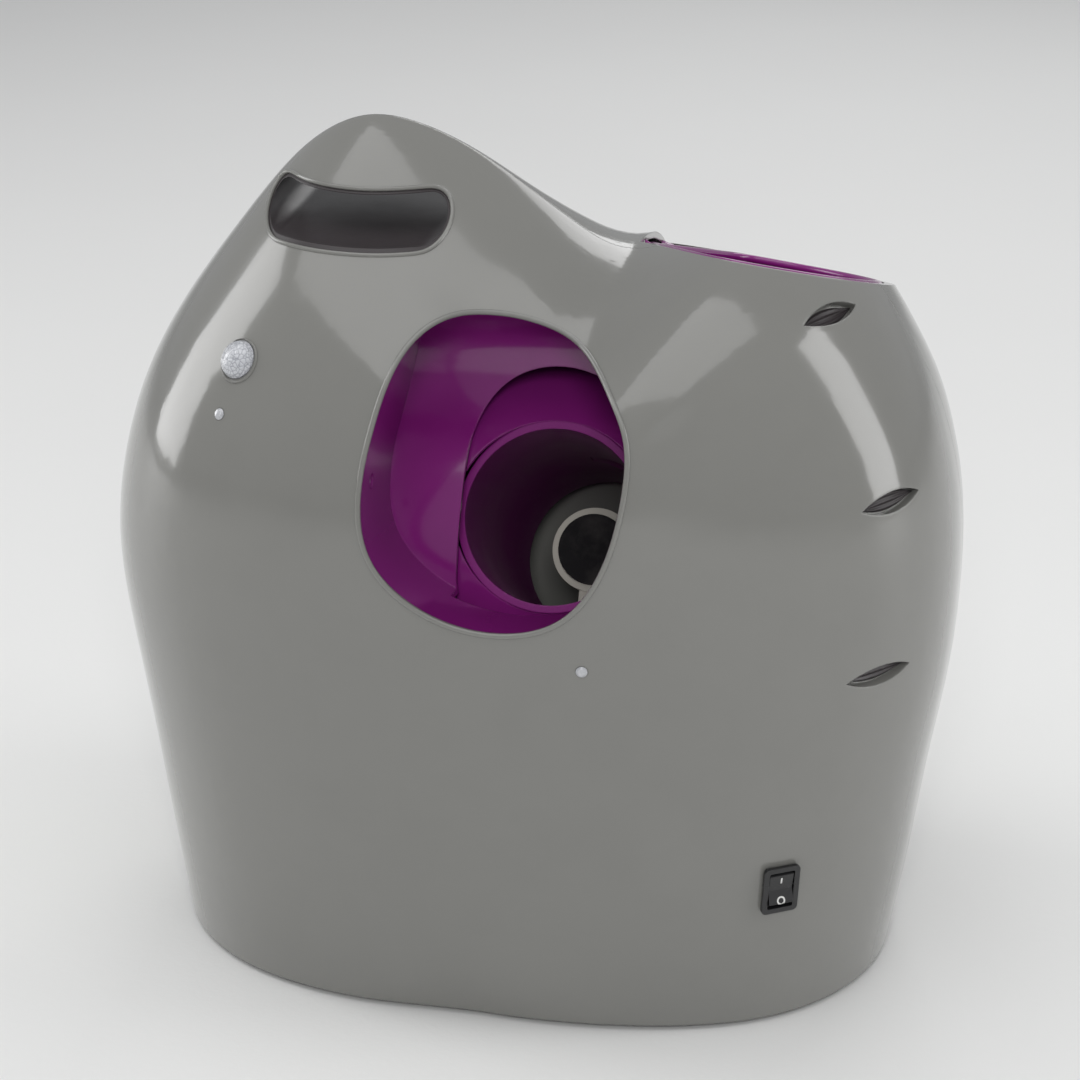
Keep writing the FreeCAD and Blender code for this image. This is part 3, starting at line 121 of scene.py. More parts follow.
# the collar round the bucket's mouth
MOUTH_PLACE = (0.038, 0.0, 0.295)  # a point of the sloping mouth, at the end of the fin
MOUTH_FALL = 6.5  # degrees down towards high X
MOUTH_TILT = 17.5  # degrees down towards high Y
BUCKET_TOP = 0.0009  # depth of the bucket's rim under the casing's
UNDER_BUCKET_TOP = 0.0016
UNDER_CASING_TOP = 0.0006
APRON_COLUMNS = 240
APRON_ROWS = 6
APRON_THICKNESS = 0.0022
APRON_INSET = 0.0012  # from the bucket's inner skin into its wall
APRON_GAP = 0.0002  # to the casing's skin
APRON_LEAST_WIDTH = 0.0004
INTO_FIN = 0.0012  # past the fin's end, where its height is measured

# marks
MARK_RISE = 0.00012
SWITCH_OUT = (0.517, -0.850, -0.105)  # the way the rocker faces
SWITCH_CIRCLE = (0.0014, 24, (0.0, -0.0044))  # radius, points, middle
SWITCH_BAR = ((0.0, 0.0030), (0.0, 0.0056))
SWITCH_LINE_WIDTH = 0.0007
POINTER_RISE = 0.00014
POINTER_WIDTH = 0.0012
POINTER_POINTS = 8
DIAL_STEPS = 8
DIAL_LONG_TICKS = (0.0235, 0.0275, 0.0009)  # inner and outer radius, width
DIAL_SHORT_TICKS = (0.0238, 0.0262, 0.0006)
DIAL_POINTER = ((0.0, 0.0095), (0.0, 0.0175))
KNOB_STEPS = 6
KNOB_TICKS = (0.0265, 0.0300, 0.0008)
KNOB_POINTER = ((0.0, 0.0080), (0.0, 0.0150))

# sensors and scoops
SENSOR_RING_RADIUS = 0.0083
SENSOR_RING_WIDTH = 0.0011
SENSOR_RING_RISE = 0.0006
LENS_TURNS = range(-80, 81, 4)  # degrees to the side that a lens may face
LENS_LIFTS = range(-60, 61, 4)  # degrees up that a lens may face
SCOOP_HALF_LENGTH = 0.0147
SCOOP_HALF_HEIGHT = 0.0034
SCOOP_DEPTH = 0.0045
SCOOP_PLACES = ((0.145, 0.153), (0.146, 0.221), (0.119, 0.287))  # X and Z
BESIDE_SCOOP = ((0.0, 0.009), (0.0, -0.009), (0.015, 0.0), (-0.015, 0.0))  # steps onto the plain skin
BEYOND_CASING = 0.2  # where a ray towards the skin starts
SCOOP_LEAST_Y = 0.025  # nearer the middle plane there is no skin with a scoop
SCOOP_FEEL = (0.01, 0.03)  # start above the skin and length of the ray that finds a floor
SCOOP_LEAST_COSINE = 0.8  # between a scoop's floor and the skin
# dark plates of painted shade on the scoops' floors
SHADE_PLATE_THICKNESS = 0.0014
SHADE_PLATE_TIP = 0.0001
LOUVRE_FLOOR = 0.0004
LOUVRE_RISE = 0.0006

# underside
# dark raised marks on the screw heads: painted shade of their cross recesses
CROSS_REACH = 0.0014
CROSS_WIDTH = 0.0006
CROSS_RISES = (0.00008, 0.00009)
TREAD_RADII = (0.0022, 0.0042)
TREAD_WIDTH = 0.0008
TREAD_RISE = -0.00015
ARROW_TAIL = (0.0, -0.012)
ARROW_NECK = (0.0, 0.010)
ARROW_BARB = (0.006, 0.004)
ARROW_TIP = (0.0, 0.011)
ARROW_WIDTH = 0.0022
ARROW_RISE = 0.0003

# control board
RESISTOR_START = (0.008, 0.030)  # along and up the board
RESISTOR_STEP = (0.0058, 0.0042)
RESISTOR_SIZE = (0.0032, 0.0016)
RESISTOR_FACES = (-0.0009, 0.0001)  # across the board's back
RESISTOR_EDGE = 0.0002
RESISTOR_GRID = (6, 3)  # columns, rows
SOLDER_START = (0.007, 0.012)
SOLDER_STEP = (0.0048, 0.055)
SOLDER_RADIUS = 0.0009
SOLDER_FLATNESS = 0.55
SOLDER_GRID = (12, 2)

# ---------------------------------------------------------------- light and camera
# name, place, target, size, watts, seen in reflections
LIGHTS = (
    ("overhead", (-0.25, -0.35, 1.9), (0, 0, 0.15), (2.0, 1.5), 12.5, True),
    ("left_strip", (-1.5, 0.15, 0.7), (0, 0, 0.18), (0.6, 1.3), 8.0, True),
    ("right_strip", (1.5, 0.10, 0.7), (0, 0, 0.18), (0.5, 1.3), 7.0, True),
    ("rear_box", (0.3, 1.6, 1.1), (0, 0, 0.2), (1.2, 0.8), 6.0, True),
    ("front_fill", (0.30, -1.65, 1.15), (0, 0, 0.19), (0.45, 0.45), 12.0, False),
)
WORLD_COLOUR = (0.80, 0.81, 0.83, 1.0)
WORLD_STRENGTH = 0.42
BACKDROP_COLOUR = (0.86, 0.86, 0.86, 1.0)
FLOOR_SIZE = 14.0
FLOOR_COLOUR = (0.80, 0.80, 0.79)
CAMERA_AZIMUTH = 11.0
CAMERA_ELEVATION = 23.5
CAMERA_DISTANCE = 1.20
CAMERA_TARGET = (0.0, 0.0, 0.166)
FRAMED_LENGTH = 0.36
FRAME_SHARE = 0.82
SENSOR_WIDTH = 36.0


# ---------------------------------------------------------------- materials
class Surface:
    """A material under construction: a Principled shader and chains of nodes into it."""

    def __init__(self, name, colour, roughness, metallic=0.0):
        self.material = bpy.data.materials.new(name)
        self.material.use_nodes = True
        self.tree = self.material.node_tree
        self.shader = self.tree.nodes["Principled BSDF"]
        self.set("Base Color", (*colour, 1.0))
        self.set("Roughness", roughness)
        self.set("Metallic", metallic)
        self.place = self.node("ShaderNodeTexCoord").outputs["Object"]
        self.height = None

    def set(self, socket, value):
        """A constant on the shader's own socket."""
        self.shader.inputs[socket].default_value = value

    def node(self, kind, **settings):
        """A new node with settings; those with a space are input sockets."""
        made = self.tree.nodes.new(kind)
        for key, value in settings.items():
            if hasattr(made, key):
                setattr(made, key, value)
            else:
                made.inputs[key.replace("_", " ")].default_value = value
        return made

    def link(self, source, target):
        """Wire an output to an input."""
        self.tree.links.new(source, target)

    def stretched(self, scale):
        """Object coordinates scaled along each axis."""
        mapping = self.node("ShaderNodeMapping")
        mapping.inputs["Scale"].default_value = scale
        self.link(self.place, mapping.inputs["Vector"])
        return mapping.outputs["Vector"]

    def noise(self, scale, detail=3.0, rough=0.55, coords=None):
        """Noise between 0 and 1."""
        noise = self.node("ShaderNodeTexNoise", Scale=scale, Detail=detail, Roughness=rough)
        self.link(coords or self.place, noise.inputs["Vector"])
        return noise.outputs["Fac"]

    def ramp(self, source, low, high, first, last):
        """Value from first to last while source goes from low to high."""
        spread = self.node("ShaderNodeMapRange")
        for socket, value in (("From Min", low), ("From Max", high), ("To Min", first), ("To Max", last)):
            spread.inputs[socket].default_value = value
        self.link(source, spread.inputs["Value"])
        return spread.outputs["Result"]

    def tint(self, fac, colour):
        """Blend the base colour towards another by a factor."""
        mix = self.node("ShaderNodeMix", data_type="RGBA")
        current = self.shader.inputs["Base Color"]
        if current.is_linked:
            self.link(current.links[0].from_socket, mix.inputs[6])
        else:
            mix.inputs[6].default_value = current.default_value
        mix.inputs[7].default_value = (*colour, 1.0)
        self.link(fac, mix.inputs["Factor"])
        self.link(mix.outputs[2], current)

    def relief(self, source, distance, strength=1.0):
        """Add a height field to the bump of the surface."""
        bump = self.node("ShaderNodeBump", Strength=strength, Distance=distance)
        self.link(source, bump.inputs["Height"])
        if self.height is not None:
            self.link(self.height, bump.inputs["Normal"])
        self.height = bump.outputs["Normal"]
        self.link(self.height, self.shader.inputs["Normal"])

    def soften_edges(self, radius):
        """Round the shading of sharp edges."""
        bevel = self.node("ShaderNodeBevel", samples=6)
        bevel.inputs["Radius"].default_value = radius
        if self.height is None:
            self.height = bevel.outputs["Normal"]
            self.link(self.height, self.shader.inputs["Normal"])

    def vary_roughness(self, scale, low, high):
        """Smudges: roughness that drifts between two values."""
        fac = self.ramp(self.noise(scale, 4.0, 0.6), 0.32, 0.68, low, high)
        self.link(fac, self.shader.inputs["Roughness"])


def moulded(name, colour, low, high, grain=0.00002, grain_scale=1500.0, coat=0.0, edge=0.0006,
            spread=0.2):
    """Moulded plastic: mottling up to the spread, roughness from low to high, grain and softened edges."""
    surface = Surface(name, colour, (low + high) / 2.0)
    surface.soften_edges(edge)
    lighter = tuple(min(1.0, channel * (1.0 + spread) + 0.02 * spread) for channel in colour)
    darker = tuple(channel * (1.0 - 0.9 * spread) for channel in colour)
    surface.tint(surface.ramp(surface.noise(14.0, 4.0), 0.35, 0.8, 0.0, 0.55), lighter)
    surface.tint(surface.ramp(surface.noise(41.0, 5.0), 0.45, 0.85, 0.0, 0.5), darker)
    surface.vary_roughness(19.0, low, high)
    surface.relief(surface.noise(grain_scale, 2.0), grain)
    if coat:
        surface.set("Coat Weight", coat)
        surface.set("Coat Roughness", 0.06)
    surface.set("IOR", 1.5)
    return surface


def glossy_shell(name, colour):
    """Glossy painted-looking moulding with faint flow marks."""
    surface = moulded(name, colour, 0.12, 0.18, grain=0.000006, grain_scale=900.0, coat=0.5, edge=0.0011,
                      spread=0.06)
    flow = surface.noise(7.0, 2.0, 0.4, surface.stretched((1.0, 1.0, 0.35)))
    surface.relief(flow, 0.0006, 0.25)
    return surface.material


def steel(name, colour, rough, along=(1.0, 40.0, 40.0)):
    """Metal with fine lines along one axis."""
    surface = Surface(name, colour, rough, 1.0)
    surface.soften_edges(0.0003)
    lines = surface.noise(260.0, 4.0, 0.7, surface.stretched(along))
    surface.relief(lines, 0.00002, 0.6)
    drift = surface.ramp(lines, 0.2, 0.8, rough * 0.75, rough * 1.4)
    surface.link(drift, surface.shader.inputs["Roughness"])
    darker = tuple(channel * 0.6 for channel in colour)
    surface.tint(surface.ramp(surface.noise(30.0, 5.0), 0.5, 0.9, 0.0, 0.35), darker)
    return surface.material


def rubber(name, colour):
    """Matt rubber with a pebbled skin."""
    surface = Surface(name, colour, 0.75)
    surface.soften_edges(0.0006)
    surface.relief(surface.noise(1400.0, 3.0), 0.00008)
    surface.tint(surface.ramp(surface.noise(90.0, 5.0), 0.5, 0.85, 0.0, 0.6), DUST)
    surface.vary_roughness(60.0, 0.62, 0.85)
    return surface.material


def sensor_lens(name):
    """Milky lens moulded in small facets."""
    surface = Surface(name, LENS_MILK, 0.16)
    cells = surface.node("ShaderNodeTexVoronoi", Scale=620.0, feature="DISTANCE_TO_EDGE")
    surface.link(surface.place, cells.inputs["Vector"])
    edge = surface.ramp(cells.outputs["Distance"], 0.0, 0.12, 1.0, 0.0)
    surface.tint(edge, LENS_SEAM)
    surface.relief(surface.ramp(cells.outputs["Distance"], 0.0, 0.3, 0.0, 1.0), 0.0002, 0.8)
    surface.set("Subsurface Weight", 0.25)
    surface.set("Subsurface Radius", (0.004, 0.004, 0.004))
    surface.set("Coat Weight", 0.8)
    surface.set("Coat Roughness", 0.04)
    return surface.material


def lamp_lens(name):
    """Clear lamp body with a pale core."""
    surface = Surface(name, LAMP_CLEAR, 0.08)
    surface.tint(surface.ramp(surface.noise(700.0, 2.0), 0.3, 0.7, 0.0, 0.6), LAMP_CORE)
    surface.relief(surface.noise(900.0, 1.0), 0.00003)
    surface.set("Transmission Weight", 0.35)
    surface.set("Coat Weight", 1.0)
    surface.set("Coat Roughness", 0.02)
    return surface.material


def circuit_board(name):
    """Green laminate with copper tracks under the lacquer."""
    surface = Surface(name, LAMINATE, 0.35)
    tracks = surface.node("ShaderNodeTexBrick", Scale=260.0)
    tracks.inputs["Mortar Size"].default_value = 0.012
    surface.link(surface.stretched((1.0, 1.0, 1.0)), tracks.inputs["Vector"])
    surface.tint(tracks.outputs["Fac"], TRACK_GREEN)
    surface.relief(tracks.outputs["Fac"], 0.00003)
    surface.tint(surface.ramp(surface.noise(80.0, 4.0), 0.5, 0.9, 0.0, 0.5), LAMINATE_SHADE)
    surface.set("Coat Weight", 0.4)
    return surface.material


def cell_wrap(name):
    """Plain dark sleeve of a dry cell, with a faint seam texture and a painted sheen on its raised wrinkles.
    """
    surface = Surface(name, WRAP, 0.3)
    surface.soften_edges(0.0006)
    shrink = surface.noise(120.0, 4.0, 0.6, surface.stretched((1.0, 0.25, 1.0)))
    surface.relief(shrink, 0.00012, 0.5)
    # painted sheen: lighter where the shrink wrinkles rise
    surface.tint(surface.ramp(shrink, 0.45, 0.75, 0.0, 0.4), WRAP_PAINTED_SHEEN)
    surface.set("Coat Weight", 0.5)
    return surface.material


def lime_knob(name):
    """Glossy lime moulding that lets a little light into it."""
    surface = moulded(name, LIME, 0.14, 0.24, grain=0.00001, grain_scale=1100.0, coat=0.5, edge=0.0009)
    surface.set("Subsurface Weight", 0.12)
    surface.set("Subsurface Radius", (0.006, 0.005, 0.001))
    return surface.material


def make_materials():
    """One material for each slot of the record, and three more: the tube's, white marks and black parts."""
    return {
        "body": glossy_shell("body", GREY),
        "underside": moulded("underside", DARK_GREY, 0.45, 0.62, grain=0.00006, grain_scale=700.0).material,
        # dark_trim is also the painted shade of the scoop plates and of the screws' cross recesses
        "dark_trim": moulded("dark_trim", TRIM_BLACK_AND_SHADE, 0.28, 0.42, grain=0.00003, grain_scale=900.0).material,
        "purple": moulded("purple", PURPLE, 0.12, 0.22, grain=0.00001, grain_scale=900.0, coat=0.5,
                          edge=0.0009).material,
        "tube_purple": moulded("tube_purple", PURPLE, 0.34, 0.44, grain_scale=900.0, edge=0.0009).material,
        "lens": sensor_lens("lens"),
        "lamp": lamp_lens("lamp"),
        "inner_plastic": moulded("inner_plastic", INNER_GREY, 0.45, 0.6, grain=0.00005).material,
        "rubber": rubber("rubber", RUBBER_BLACK),
        "steel": steel("steel", STEEL, 0.28),
        "cell_wrap": cell_wrap("cell_wrap"),
        "contact_metal": steel("contact_metal", PLATING, 0.25, (30.0, 1.0, 30.0)),
        "circuit_board": circuit_board("circuit_board"),
        "switch_black": moulded("switch_black", BLACK, 0.22, 0.34, grain_scale=1200.0, coat=0.2,
                                edge=0.0004).material,
        "motor_can": steel("motor_can", ZINC, 0.32, (2.0, 30.0, 30.0)),
        "gear_plastic": moulded("gear_plastic", IVORY, 0.35, 0.5, grain=0.00003, grain_scale=900.0,
                                edge=0.0004).material,
        "brass": steel("brass", BRASS, 0.26),
        "lime": lime_knob("lime"),
        "mark_white": moulded("mark_white", MARK_WHITE, 0.35, 0.45).material,
        "sleeve_black": moulded("sleeve_black", SLEEVE_BLACK, 0.35, 0.5).material,
    }


MATERIALS = make_materials()


def dress_frame():
    """Give each CAD node the material of its slot, and the launch tube its duller purple."""
    for name, node in NODES.items():
        node.data.materials.clear()
        node.data.materials.append(MATERIALS["tube_purple" if name == "launch_tube" else SLOTS[name]])


# ---------------------------------------------------------------- small pieces
def mesh_piece(name, build, material, body, smooth=True):
    """A piece from a bmesh builder, with a material, riding on a body."""
    data = bpy.data.meshes.new(name)
    shape = bmesh.new()
    build(shape)
    bmesh.ops.recalc_face_normals(shape, faces=shape.faces)
    shape.to_mesh(data)
    shape.free()
    piece = bpy.data.objects.new(name, data)
    bpy.context.collection.objects.link(piece)
    data.materials.append(MATERIALS[material])
    if smooth:
        for polygon in data.polygons:
            polygon.use_smooth = True
        data.set_sharp_from_angle(angle=SHARP_ANGLE)
    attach(piece, body)
    return piece


def slab(shape, grid, down, closed=False):
    """Closed plate over a grid of points, as thick as the vector down."""
    upper = [[shape.verts.new(point) for point in column] for column in grid]
    lower = [[shape.verts.new(point + down) for point in column] for column in grid]
    count, rows = len(grid), len(grid[0]) - 1
    for a in range(count if closed else count - 1):
        b = (a + 1) % count
        for j in range(rows):
            shape.faces.new((upper[a][j], upper[a][j + 1], upper[b][j + 1], upper[b][j]))
            shape.faces.new((lower[a][j], lower[b][j], lower[b][j + 1], lower[a][j + 1]))
        for j in (0, rows):
            shape.faces.new((upper[a][j], upper[b][j], lower[b][j], lower[a][j]))
    for a in () if closed else (0, -1):
        for j in range(rows):
            shape.faces.new((upper[a][j], upper[a][j + 1], lower[a][j + 1], lower[a][j]))


# ---------------------------------------------------------------- lines on surfaces
def tree_of(*names):
    """Search tree over the faces of some nodes."""
    corners, faces = [], []
    for name in names:
        data = NODES[name].data
        start = len(corners)
        corners.extend(vertex.co.copy() for vertex in data.vertices)
        faces.extend([start + index for index in polygon.vertices] for polygon in data.polygons)
    return BVHTree.FromPolygons(corners, faces)


def frame_at(place, out):
    """Drawing frame on a surface: Z out of it, Y as near to upright as it can be."""
    out = Vector(out).normalized()
    side = Vector((0, 0, 1)).cross(out)
    if side.length < 0.01:
        side = Vector((1, 0, 0))
    side.normalize()
    matrix = Matrix((side, out.cross(side), out)).transposed().to_4x4()
    matrix.translation = Vector(place)
    return matrix


def dropped(frame, tree, u, v, reach=0.03):
    """Point of a surface straight below a place in a drawing frame."""
    start = frame @ Vector((u, v, reach))
    hit = tree.ray_cast(start, -frame.col[2].to_3d(), 2.5 * reach)[0]
    return hit if hit is not None else frame @ Vector((u, v, 0))


def stroke(shape, frame, tree, line, width, rise, closed=False):
    """Raised ribbon along a line drawn on a surface."""
    out = frame.col[2].to_3d()
    count = len(line)
    rings = []
    for k, (u, v) in enumerate(line):
        before = line[k - 1] if k or closed else line[k]
        after = line[(k + 1) % count] if k + 1 < count or closed else line[k]
        across = Vector((before[1] - after[1], after[0] - before[0])).normalized() * width
        places = [(dropped(frame, tree, u + across.x * share, v + across.y * share), height)
                  for share, height in RIBBON]
        rings.append([shape.verts.new(point + out * rise * height) for point, height in places])
    ends = zip(rings, rings[1:] + rings[:1]) if closed else zip(rings, rings[1:])
    for first, second in ends:
        for j in range(len(RIBBON)):
            following = (j + 1) % len(RIBBON)
            shape.faces.new((first[j], first[following], second[following], second[j]))
    if not closed:
        shape.faces.new(rings[0])
        shape.faces.new(list(reversed(rings[-1])))


def run(start, end, count=6):
    """Points along a straight line."""
    return [(start[0] + (end[0] - start[0]) * k / (count - 1),
             start[1] + (end[1] - start[1]) * k / (count - 1)) for k in range(count)]


def ring(radius, count=48, middle=(0.0, 0.0)):
    """Points round a circle."""
    return [(middle[0] + radius * math.cos(2 * math.pi * k / count),
             middle[1] + radius * math.sin(2 * math.pi * k / count)) for k in range(count)]


def drawing(name, frame, nodes, lines, rise, material, body):
    """A piece made of raised lines: each has its points, its width and whether it closes."""
    tree = tree_of(*nodes)

    def build(shape):
        for points, width, closed in lines:
            stroke(shape, frame, tree, points, width, rise, closed)

    return mesh_piece(name, build, material, body, smooth=False)


# ---------------------------------------------------------------- beads along rims
def sharp_rims(node, low, high, least):
    """Closed chains of a node's edges that turn by the least angle or more, inside a box of space."""
    shape = bmesh.new()
    shape.from_mesh(NODES[node].data)
    bmesh.ops.remove_doubles(shape, verts=shape.verts[:], dist=WELD)
    shape.verts.index_update()
    links = {}
    for edge in shape.edges:
        if len(edge.link_faces) != 2 or edge.calc_face_angle(0.0) < least:
            continue
        if all(low[k] <= vertex.co[k] <= high[k] for vertex in edge.verts for k in range(3)):
            first, second = edge.verts
            links.setdefault(first, []).append(second)
            links.setdefault(second, []).append(first)
    chains = []
    left = set(links)
    while left:
        here = min(left, key=lambda vertex: vertex.index)
        chain = [here]
        left.discard(here)
        onward = [vertex for vertex in links[here] if vertex in left]
        while onward:
            here = min(onward, key=lambda vertex: vertex.index)
            chain.append(here)
            left.discard(here)
            onward = [vertex for vertex in links[here] if vertex in left]
        if len(chain) > FEWEST_RIM_POINTS and chain[0] in links[chain[-1]]:
            chains.append([vertex.co.copy() for vertex in chain])
    shape.free()
    return chains


def length_of(chain):
    """Length round a closed chain of points."""
    return sum((chain[k] - chain[k - 1]).length for k in range(len(chain)))


def middle_of(chain):
    """Mean of a chain's points."""
    return sum(chain, Vector()) / len(chain)


def long_rims(node, zone, shortest, least=RIM_ANGLE):
    """The sharp rims of a node in a zone that are longer than a length."""
    return [rim for rim in sharp_rims(node, *zone, least) if length_of(rim) > shortest]


def evened(chain, count, passes=3):
    """Closed chain resampled at even steps and eased."""
    step = length_of(chain) / count
    points, walked, wanted = [], 0.0, 0.0
    for k in range(len(chain)):
        start, end = chain[k], chain[(k + 1) % len(chain)]
        span = (end - start).length
        while span > 0 and wanted <= walked + span and len(points) < count:
            points.append(start.lerp(end, (wanted - walked) / span))
            wanted += step
        walked += span
    found = len(points)
    for _ in range(passes):
        points = [(points[k - 1] + points[k] * 2 + points[(k + 1) % found]) / 4 for k in range(found)]
    return points


def bead(name, points, radius, reference, material, body, sides=12):
    """Round bead along a closed line."""
    def build(shape):
        rings = []
        for k, point in enumerate(points):
            tangent = (points[(k + 1) % len(points)] - points[k - 1]).normalized()
            across = tangent.cross(reference).normalized()
            upward = across.cross(tangent)
            turns = [2 * math.pi * j / sides for j in range(sides)]
            spokes = [across * math.cos(turn) + upward * math.sin(turn) for turn in turns]
            rings.append([shape.verts.new(point + spoke * radius) for spoke in spokes])
        for first, second in zip(rings, rings[1:] + rings[:1]):
            for j in range(sides):
                following = (j + 1) % sides
                shape.faces.new((first[j], first[following], second[following], second[j]))

    return mesh_piece(name, build, material, body)


# ---------------------------------------------------------------- rims and lips
def make_rims():
    """Rounded lips of the portal, of both mouths of the hand slot and of the bucket."""
    along_y, along_z = Vector((0, 1, 0)), Vector((0, 0, 1))
    rims = long_rims("front_shell", PORTAL_ZONE, PORTAL_RIM_LENGTH)
    front = min(rims, key=lambda rim: middle_of(rim).y)
    bead("portal_lip", evened(front, PORTAL_LIP_POINTS), PORTAL_LIP_RADIUS, along_y, "body", "casing")
    for name, node, pick in (("slot_lip_front", "front_shell", min), ("slot_lip_rear", "rear_shell", max)):
        rims = long_rims(node, SLOT_ZONE, SLOT_RIM_LENGTH)
        mouth = pick(rims, key=lambda rim: middle_of(rim).y)
        bead(name, evened(mouth, SLOT_LIP_POINTS), SLOT_LIP_RADIUS, along_y, "body", "casing")
    rims = long_rims("ball_bucket", BUCKET_ZONE, BUCKET_RIM_LENGTH, BUCKET_RIM_ANGLE)
    mouth = max(rims, key=lambda rim: middle_of(rim).z)
    bead("bucket_lip", evened(mouth, BUCKET_LIP_POINTS, 6), BUCKET_LIP_RADIUS, along_z, "purple", "casing")
    make_apron(mouth)


def reach_of(tree, frame, start, direction):
    """Distance from a place in a frame to a surface along a direction in it, or None."""
    turned = (frame.to_3x3() @ Vector(direction)).normalized()
    return tree.ray_cast(frame @ Vector(start), turned, LONGEST_RAY)[3]


def make_apron(rim):
    """Collar from the bucket's rim out to the casing's skin, which rises to close the fin's end."""
    turn = (Matrix.Rotation(math.radians(-MOUTH_TILT), 4, "X")
            @ Matrix.Rotation(math.radians(MOUTH_FALL), 4, "Y"))
    frame = Matrix.Translation(Vector(MOUTH_PLACE)) @ turn
    flat = [frame.inverted() @ point for point in rim]
    middle = [(min(point[k] for point in flat) + max(point[k] for point in flat)) / 2 for k in range(2)]
    bucket, casing = tree_of("ball_bucket"), tree_of("front_shell", "rear_shell")
    grid = []
    for k in range(APRON_COLUMNS):
        angle = 2 * math.pi * k / APRON_COLUMNS
        way = (math.cos(angle), math.sin(angle), 0.0)
        near = reach_of(bucket, frame, (*middle, -UNDER_BUCKET_TOP), way)
        far = reach_of(casing, frame, (*middle, -UNDER_CASING_TOP), way)
        if near is None:
            continue
        rise = 0.0
        end = middle[0] / -way[0] if way[0] < -0.01 else LONGEST_RAY  # where the fin begins
        if far is None or far > end:
            far = end
            beside = (-INTO_FIN, middle[1] + far * way[1], -UNDER_CASING_TOP)
            rise = max((reach_of(casing, frame, beside, (0, 0, 1)) or 0.0) - UNDER_CASING_TOP, 0.0)
        near += APRON_INSET
        far = max(far - APRON_GAP, near + APRON_LEAST_WIDTH)
        column = []
        for step in range(APRON_ROWS + 1):
            share = step / APRON_ROWS
            reach = near + (far - near) * share
            place = (middle[0] + reach * way[0], middle[1] + reach * way[1], rise * share ** 2 - BUCKET_TOP)
            column.append(frame @ Vector(place))
        grid.append(column)
    down = frame.col[2].to_3d() * -APRON_THICKNESS
    mesh_piece("bucket_apron", lambda shape: slab(shape, grid, down, True), "purple", "casing")


# ---------------------------------------------------------------- marks
def make_switch_marks():
    """Bar and circle on the rocker."""
    rocker = JOINTS["power_rocker_tip"]
    frame = frame_at(rocker["pos_m"], SWITCH_OUT)
    lines = [(ring(*SWITCH_CIRCLE), SWITCH_LINE_WIDTH, True), (run(*SWITCH_BAR), SWITCH_LINE_WIDTH, False)]
    drawing("switch_marks", frame, ["power_rocker"], lines, MARK_RISE, "mark_white", "rocker")


def ticks(angles, inner, outer, width):
    """Radial lines at angles from upright, clockwise."""
    lines = []
    for angle in angles:
        turn = math.radians(90.0 - angle)
        direction = (math.cos(turn), math.sin(turn))
        ends = [(direction[0] * radius, direction[1] * radius) for radius in (inner, outer)]
        lines.append((run(*ends), width, False))
    return lines


def make_scales():
    """Scale round each knob and a pointer on each knob."""
    dial = JOINTS["distance_dial_turn"]
    outwards = dial["axis"] if dial["axis"][1] > 0 else [-value for value in dial["axis"]]
    frame = frame_at(dial["pos_m"], outwards)
    low, high = dial["range_deg"]
    steps = [low + (high - low) * k / DIAL_STEPS for k in range(DIAL_STEPS + 1)]
    lines = ticks(steps[::2], *DIAL_LONG_TICKS) + ticks(steps[1::2], *DIAL_SHORT_TICKS)
    drawing("distance_scale", frame, ["rear_shell"], lines, MARK_RISE, "mark_white", "casing")
    pointer = (run(*DIAL_POINTER, POINTER_POINTS), POINTER_WIDTH, False)
    drawing("distance_pointer", frame, ["distance_dial"], [pointer], POINTER_RISE, "mark_white",
            "distance_control")
    knob = JOINTS["angle_knob_turn"]
    frame = frame_at(knob["pos_m"], (-1, 0, 0))
    low, high = knob["range_deg"]
    steps = [low + (high - low) * k / KNOB_STEPS for k in range(KNOB_STEPS + 1)]
    drawing("angle_scale", frame, ["front_shell", "rear_shell"], ticks(steps, *KNOB_TICKS), MARK_RISE,
            "mark_white", "casing")
    pointer = (run(*KNOB_POINTER, POINTER_POINTS), POINTER_WIDTH, False)
    drawing("angle_pointer", frame, ["angle_knob"], [pointer], POINTER_RISE, "mark_white", "angle_control")


def make_sensor_trim():
    """Ring round each motion sensor."""
    for side, name, shell in ((-1, "front", "front_shell"), (1, "rear", "rear_shell")):
        low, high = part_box(name + "_sensor_lens")
        middle = (Vector(low) + Vector(high)) / 2
        lens = NODES[name + "_sensor_lens"].data
        out = lens_direction(lens, middle, side)
        frame = frame_at(middle, out)
        circle = (ring(SENSOR_RING_RADIUS, count=56), SENSOR_RING_WIDTH, True)
        drawing("sensor_ring_" + name, frame, [shell], [circle], SENSOR_RING_RISE, "body", "casing")


def lens_direction(data, middle, side):
    """Axis of a turned lens: the direction in which its points spread least."""
    best = None
    for turn in LENS_TURNS:
        for lift in LENS_LIFTS:
            flat = math.cos(math.radians(lift))
            axis = Vector((math.sin(math.radians(turn)) * flat,
                           side * math.cos(math.radians(turn)) * flat,
                           math.sin(math.radians(lift))))
            heights = [(vertex.co - middle).dot(axis) for vertex in data.vertices]
            spread = max(heights) - min(heights)
            if best is None or spread < best[0]:
                best = (spread, axis)
    return best[1]


